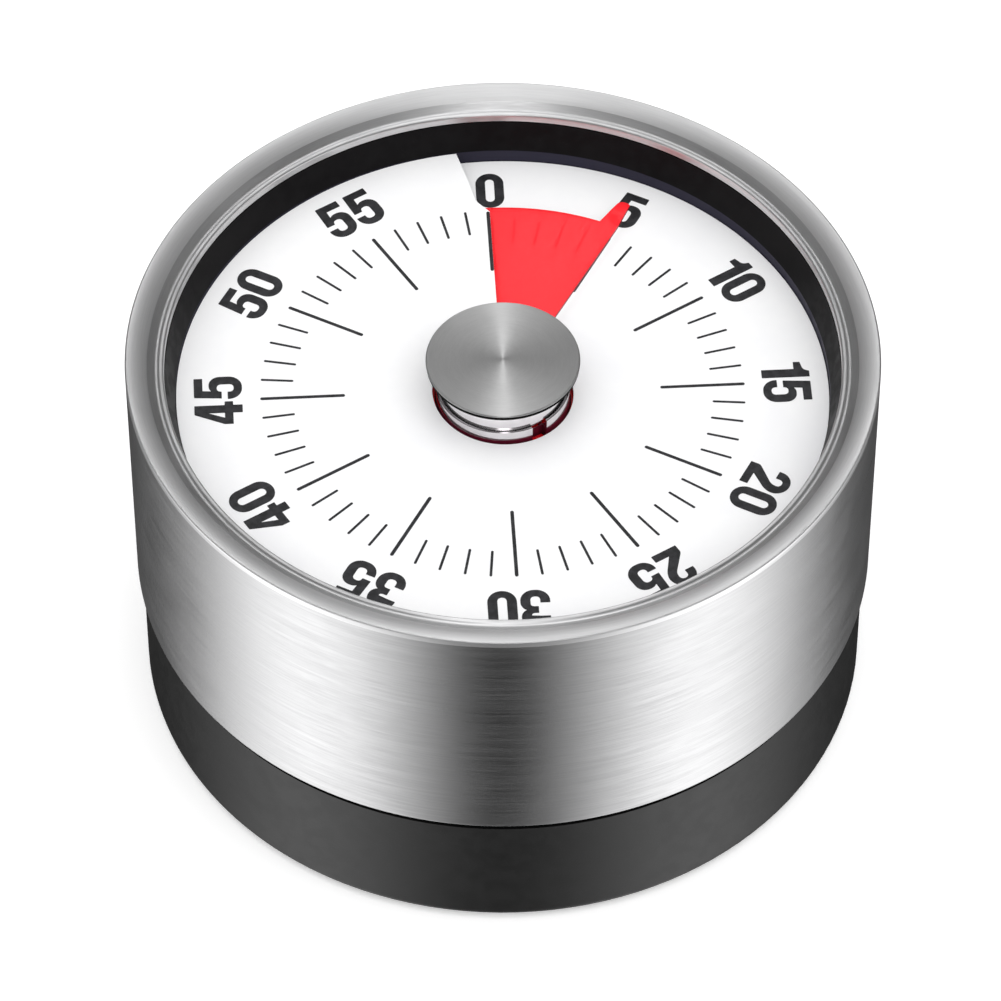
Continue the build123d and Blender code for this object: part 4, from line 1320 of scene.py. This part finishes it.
@dataclass
class Movement:
    """The clockwork, the alarm and its bell."""

    steel: Finish = PressedMetal("plate_steel_zinc", colour=(0.6, 0.6, 0.58), tarnished=(0.47, 0.47, 0.45))
    brass: Finish = PressedMetal(
        "wheel_brass", colour=(0.72, 0.5, 0.2), tarnished=(0.52, 0.34, 0.14), roughness=0.26
    )
    arbors: Finish = PressedMetal(
        "arbor_steel_turned", colour=(0.5, 0.5, 0.51), tarnished=(0.4, 0.4, 0.42), roughness=0.2
    )
    springs: Finish = PressedMetal(
        "spring_steel_blued", colour=(0.2, 0.22, 0.3), tarnished=(0.13, 0.15, 0.24), roughness=0.22
    )
    nylon: Finish = MouldedPlastic(
        "gear_nylon_natural",
        colour=(0.72, 0.7, 0.62),
        fleck=(0.76, 0.74, 0.67),
        roughness=(0.4, 0.5),
        depth=0.006,
    )
    bell_steel: Finish = PressedMetal(
        "bell_steel_plated", colour=(0.66, 0.66, 0.64), tarnished=(0.52, 0.52, 0.5), roughness=0.2
    )

    def build(self) -> None:
        """Dresses every piece of the movement by its metal."""
        dress(self.steel, "front_plate", "back_plate", "plate_screws", "movement_screws", "stop_lug")
        dress(self.steel, "release_lever", "release_post", "stop_post", "spring_anchor", "hammer_arm")
        dress(self.brass, "main_wheel", "arbor_bush", "plate_pillars", "balance_wheel", "hammer_head")
        dress(self.arbors, "main_arbor")
        dress(self.springs, "mainspring", "hairspring", "clutch_spring", "hammer_spring")
        dress(self.nylon, "second_wheel", "third_wheel", "fourth_wheel", "escape_wheel")
        dress(self.nylon, "pallet_lever", "alarm_cam")
        dress(self.bell_steel, "bell", "bell_post", "bell_screw")


@dataclass
class Studio:
    """The pale floor, the soft lights, the surround that the steel mirrors and the camera."""

    elevation: float = 49.18
    azimuth: float = -3.2
    target: tuple[float, float, float] = (-0.25, 0.0, 22.6)
    distance: float = 657.5
    lens: float = 223.1
    floor_size: float = 6000.0
    floor: Finish = StudioSweep("studio_floor")
    mirror_strength: float = 2.3
    roof_heights: tuple[float, float] = (0.2, 0.55)
    wall_tones: Outline = (
        *((0.0, 0.015), (0.16, 0.015), (0.24, 0.03), (0.36, 0.13), (0.48, 0.36), (0.6, 0.66)),
        *((0.71, 0.83), (0.8, 0.75), (0.87, 0.56), (0.93, 0.31), (0.97, 0.12), (1.0, 0.003)),
    )
    roof_tones: Outline = ((0.0, 0.95), (0.05, 0.85), (0.14, 0.12), (0.4, 0.05), (0.6, 0.07), (1.0, 0.1))

    def build(self) -> None:
        """Sets the stage."""
        self.make_floor()
        self.make_camera()
        self.make_lights()
        self.make_surround()

    def make_floor(self) -> None:
        """A pale plain floor that the object stands on."""
        mesh = bmesh.new()
        bmesh.ops.create_grid(mesh, x_segments=1, y_segments=1, size=self.floor_size * MM / 2)
        data = bpy.data.meshes.new("studio_floor")
        mesh.to_mesh(data)
        mesh.free()
        data.materials.append(self.floor.material())
        piece = bpy.data.objects.new("studio_floor", data)
        bpy.context.scene.collection.objects.link(piece)
        piece.visible_glossy = False

    def direction(self, azimuth: float, elevation: float) -> Vector:
        """Finds the unit vector from the object towards a viewer.

        Args:
            azimuth: The viewer's azimuth in degrees.
            elevation: The viewer's elevation in degrees.

        Returns:
            The vector.
        """
        turn, lift = math.radians(azimuth), math.radians(elevation)
        return Vector((math.sin(turn) * math.cos(lift), -math.cos(turn) * math.cos(lift), math.sin(lift)))

    def stand(self, name: str, data: bpy.types.ID, azimuth: float, elevation: float) -> bpy.types.Object:
        """Adds a camera or light that looks at the object from a direction.

        Args:
            name: Its name.
            data: The camera's or light's data.
            azimuth: Where it stands, as a viewer's azimuth in degrees.
            elevation: Its elevation in degrees.

        Returns:
            The camera or light.
        """
        piece = bpy.data.objects.new(name, data)
        bpy.context.scene.collection.objects.link(piece)
        piece.rotation_mode = "QUATERNION"
        piece.rotation_quaternion = (-self.direction(azimuth, elevation)).to_track_quat("-Z", "Y")
        return piece

    def make_camera(self) -> None:
        """A long lens on the object's upright axis."""
        data = bpy.data.cameras.new("camera")
        data.lens = self.lens
        data.sensor_width = 36.0
        data.clip_start = 0.01
        data.clip_end = 50.0
        data.dof.use_dof = False
        camera = self.stand("camera", data, self.azimuth, self.elevation)
        towards = self.direction(self.azimuth, self.elevation)
        camera.location = Vector(self.target) * MM + towards * self.distance * MM
        bpy.context.scene.camera = camera

    def make_lights(self) -> None:
        """Three soft boxes: one overhead, and one to each side."""
        self.soft_box("overhead_box", 20.0, 78.0, 1.1, 1.2, 2.6)
        self.soft_box("right_box", 62.0, 38.0, 1.2, 0.9, 1.6)
        self.soft_box("left_box", -62.0, 34.0, 1.3, 0.9, 0.5)

    def soft_box(
        self, name: str, azimuth: float, elevation: float, away: float, size: float, power: float
    ) -> None:
        """One square soft box that faces the object.

        Args:
            name: Name of the light.
            azimuth: Where it stands, as a viewer's azimuth in degrees.
            elevation: Its elevation in degrees.
            away: Its distance in metres.
            size: Length of its side in metres.
            power: Its power in watts.
        """
        data = bpy.data.lights.new(name, "AREA")
        data.shape = "SQUARE"
        data.size = size
        data.energy = power
        light = self.stand(name, data, azimuth, elevation)
        light.location = self.direction(azimuth, elevation) * away
        light.visible_glossy = False

    def make_surround(self) -> None:
        """A white room with two tall bright walls and a strip overhead, seen only in reflections."""
        world = bpy.data.worlds.new("studio_surround")
        world.use_nodes = True
        world.node_tree.nodes.clear()
        graph = Graph(world.node_tree)
        ray = graph.add("ShaderNodeTexCoord").outputs["Generated"]
        split = graph.add("ShaderNodeSeparateXYZ", {0: ray})
        flat = graph.add("ShaderNodeCombineXYZ", {0: split.outputs[0], 1: split.outputs[1]})
        unit = graph.add("ShaderNodeVectorMath", {0: flat.outputs[0]}, operation="NORMALIZE")
        facing = self.direction(self.azimuth, 0.0)
        pair = {0: unit.outputs[0], 1: tuple(facing)}
        front = graph.add("ShaderNodeVectorMath", pair, operation="DOT_PRODUCT")
        share = graph.math("MULTIPLY_ADD", front.outputs["Value"], 0.5)
        share.node.inputs[2].default_value = 0.5
        walls = self.stops(graph, share, self.wall_tones)
        sideways = graph.math("ABSOLUTE", split.outputs[0])
        roof = self.stops(graph, sideways, self.roof_tones)
        height = graph.spread(split.outputs[2], *self.roof_heights)
        seen = graph.blend(height, walls, roof)
        room = graph.add("ShaderNodeBackground", {"Color": (1.0, 1.0, 1.0, 1.0), "Strength": 1.0})
        mirrored = graph.add("ShaderNodeBackground", {"Color": seen, "Strength": self.mirror_strength})
        path = graph.add("ShaderNodeLightPath")
        glossy = path.outputs["Is Glossy Ray"]
        mix = graph.add("ShaderNodeMixShader", {0: glossy, 1: room.outputs[0], 2: mirrored.outputs[0]})
        output = graph.add("ShaderNodeOutputWorld")
        graph.tree.links.new(mix.outputs[0], output.inputs["Surface"])
        bpy.context.scene.world = world
        bpy.context.scene.view_settings.view_transform = "Standard"

    @staticmethod
    def stops(graph: Graph, share: Feed, tones: Sequence[tuple[float, float]]) -> Socket:
        """A smooth ramp of grey tones.

        Args:
            graph: The graph.
            share: Where along the ramp to read, from 0 to 1.
            tones: Place and brightness of each stop.

        Returns:
            The colour.
        """
        node = graph.add("ShaderNodeValToRGB", {0: share})
        node.color_ramp.interpolation = "LINEAR"
        while len(node.color_ramp.elements) < len(tones):
            node.color_ramp.elements.new(1.0)
        for element, (place, tone) in zip(node.color_ramp.elements, tones):
            element.position = place
            element.color = (tone, tone, tone, 1.0)
        return node.outputs["Color"]


def main() -> None:
    """Builds every sub-assembly in order."""
    for assembly in (Studio(), SteelShell(), Dial(), TimeDisc(), Knob(), Well(), Underside(), Movement()):
        LOG.info("building %s", type(assembly).__name__)
        assembly.build()


if __name__ == "__main__":
    main()
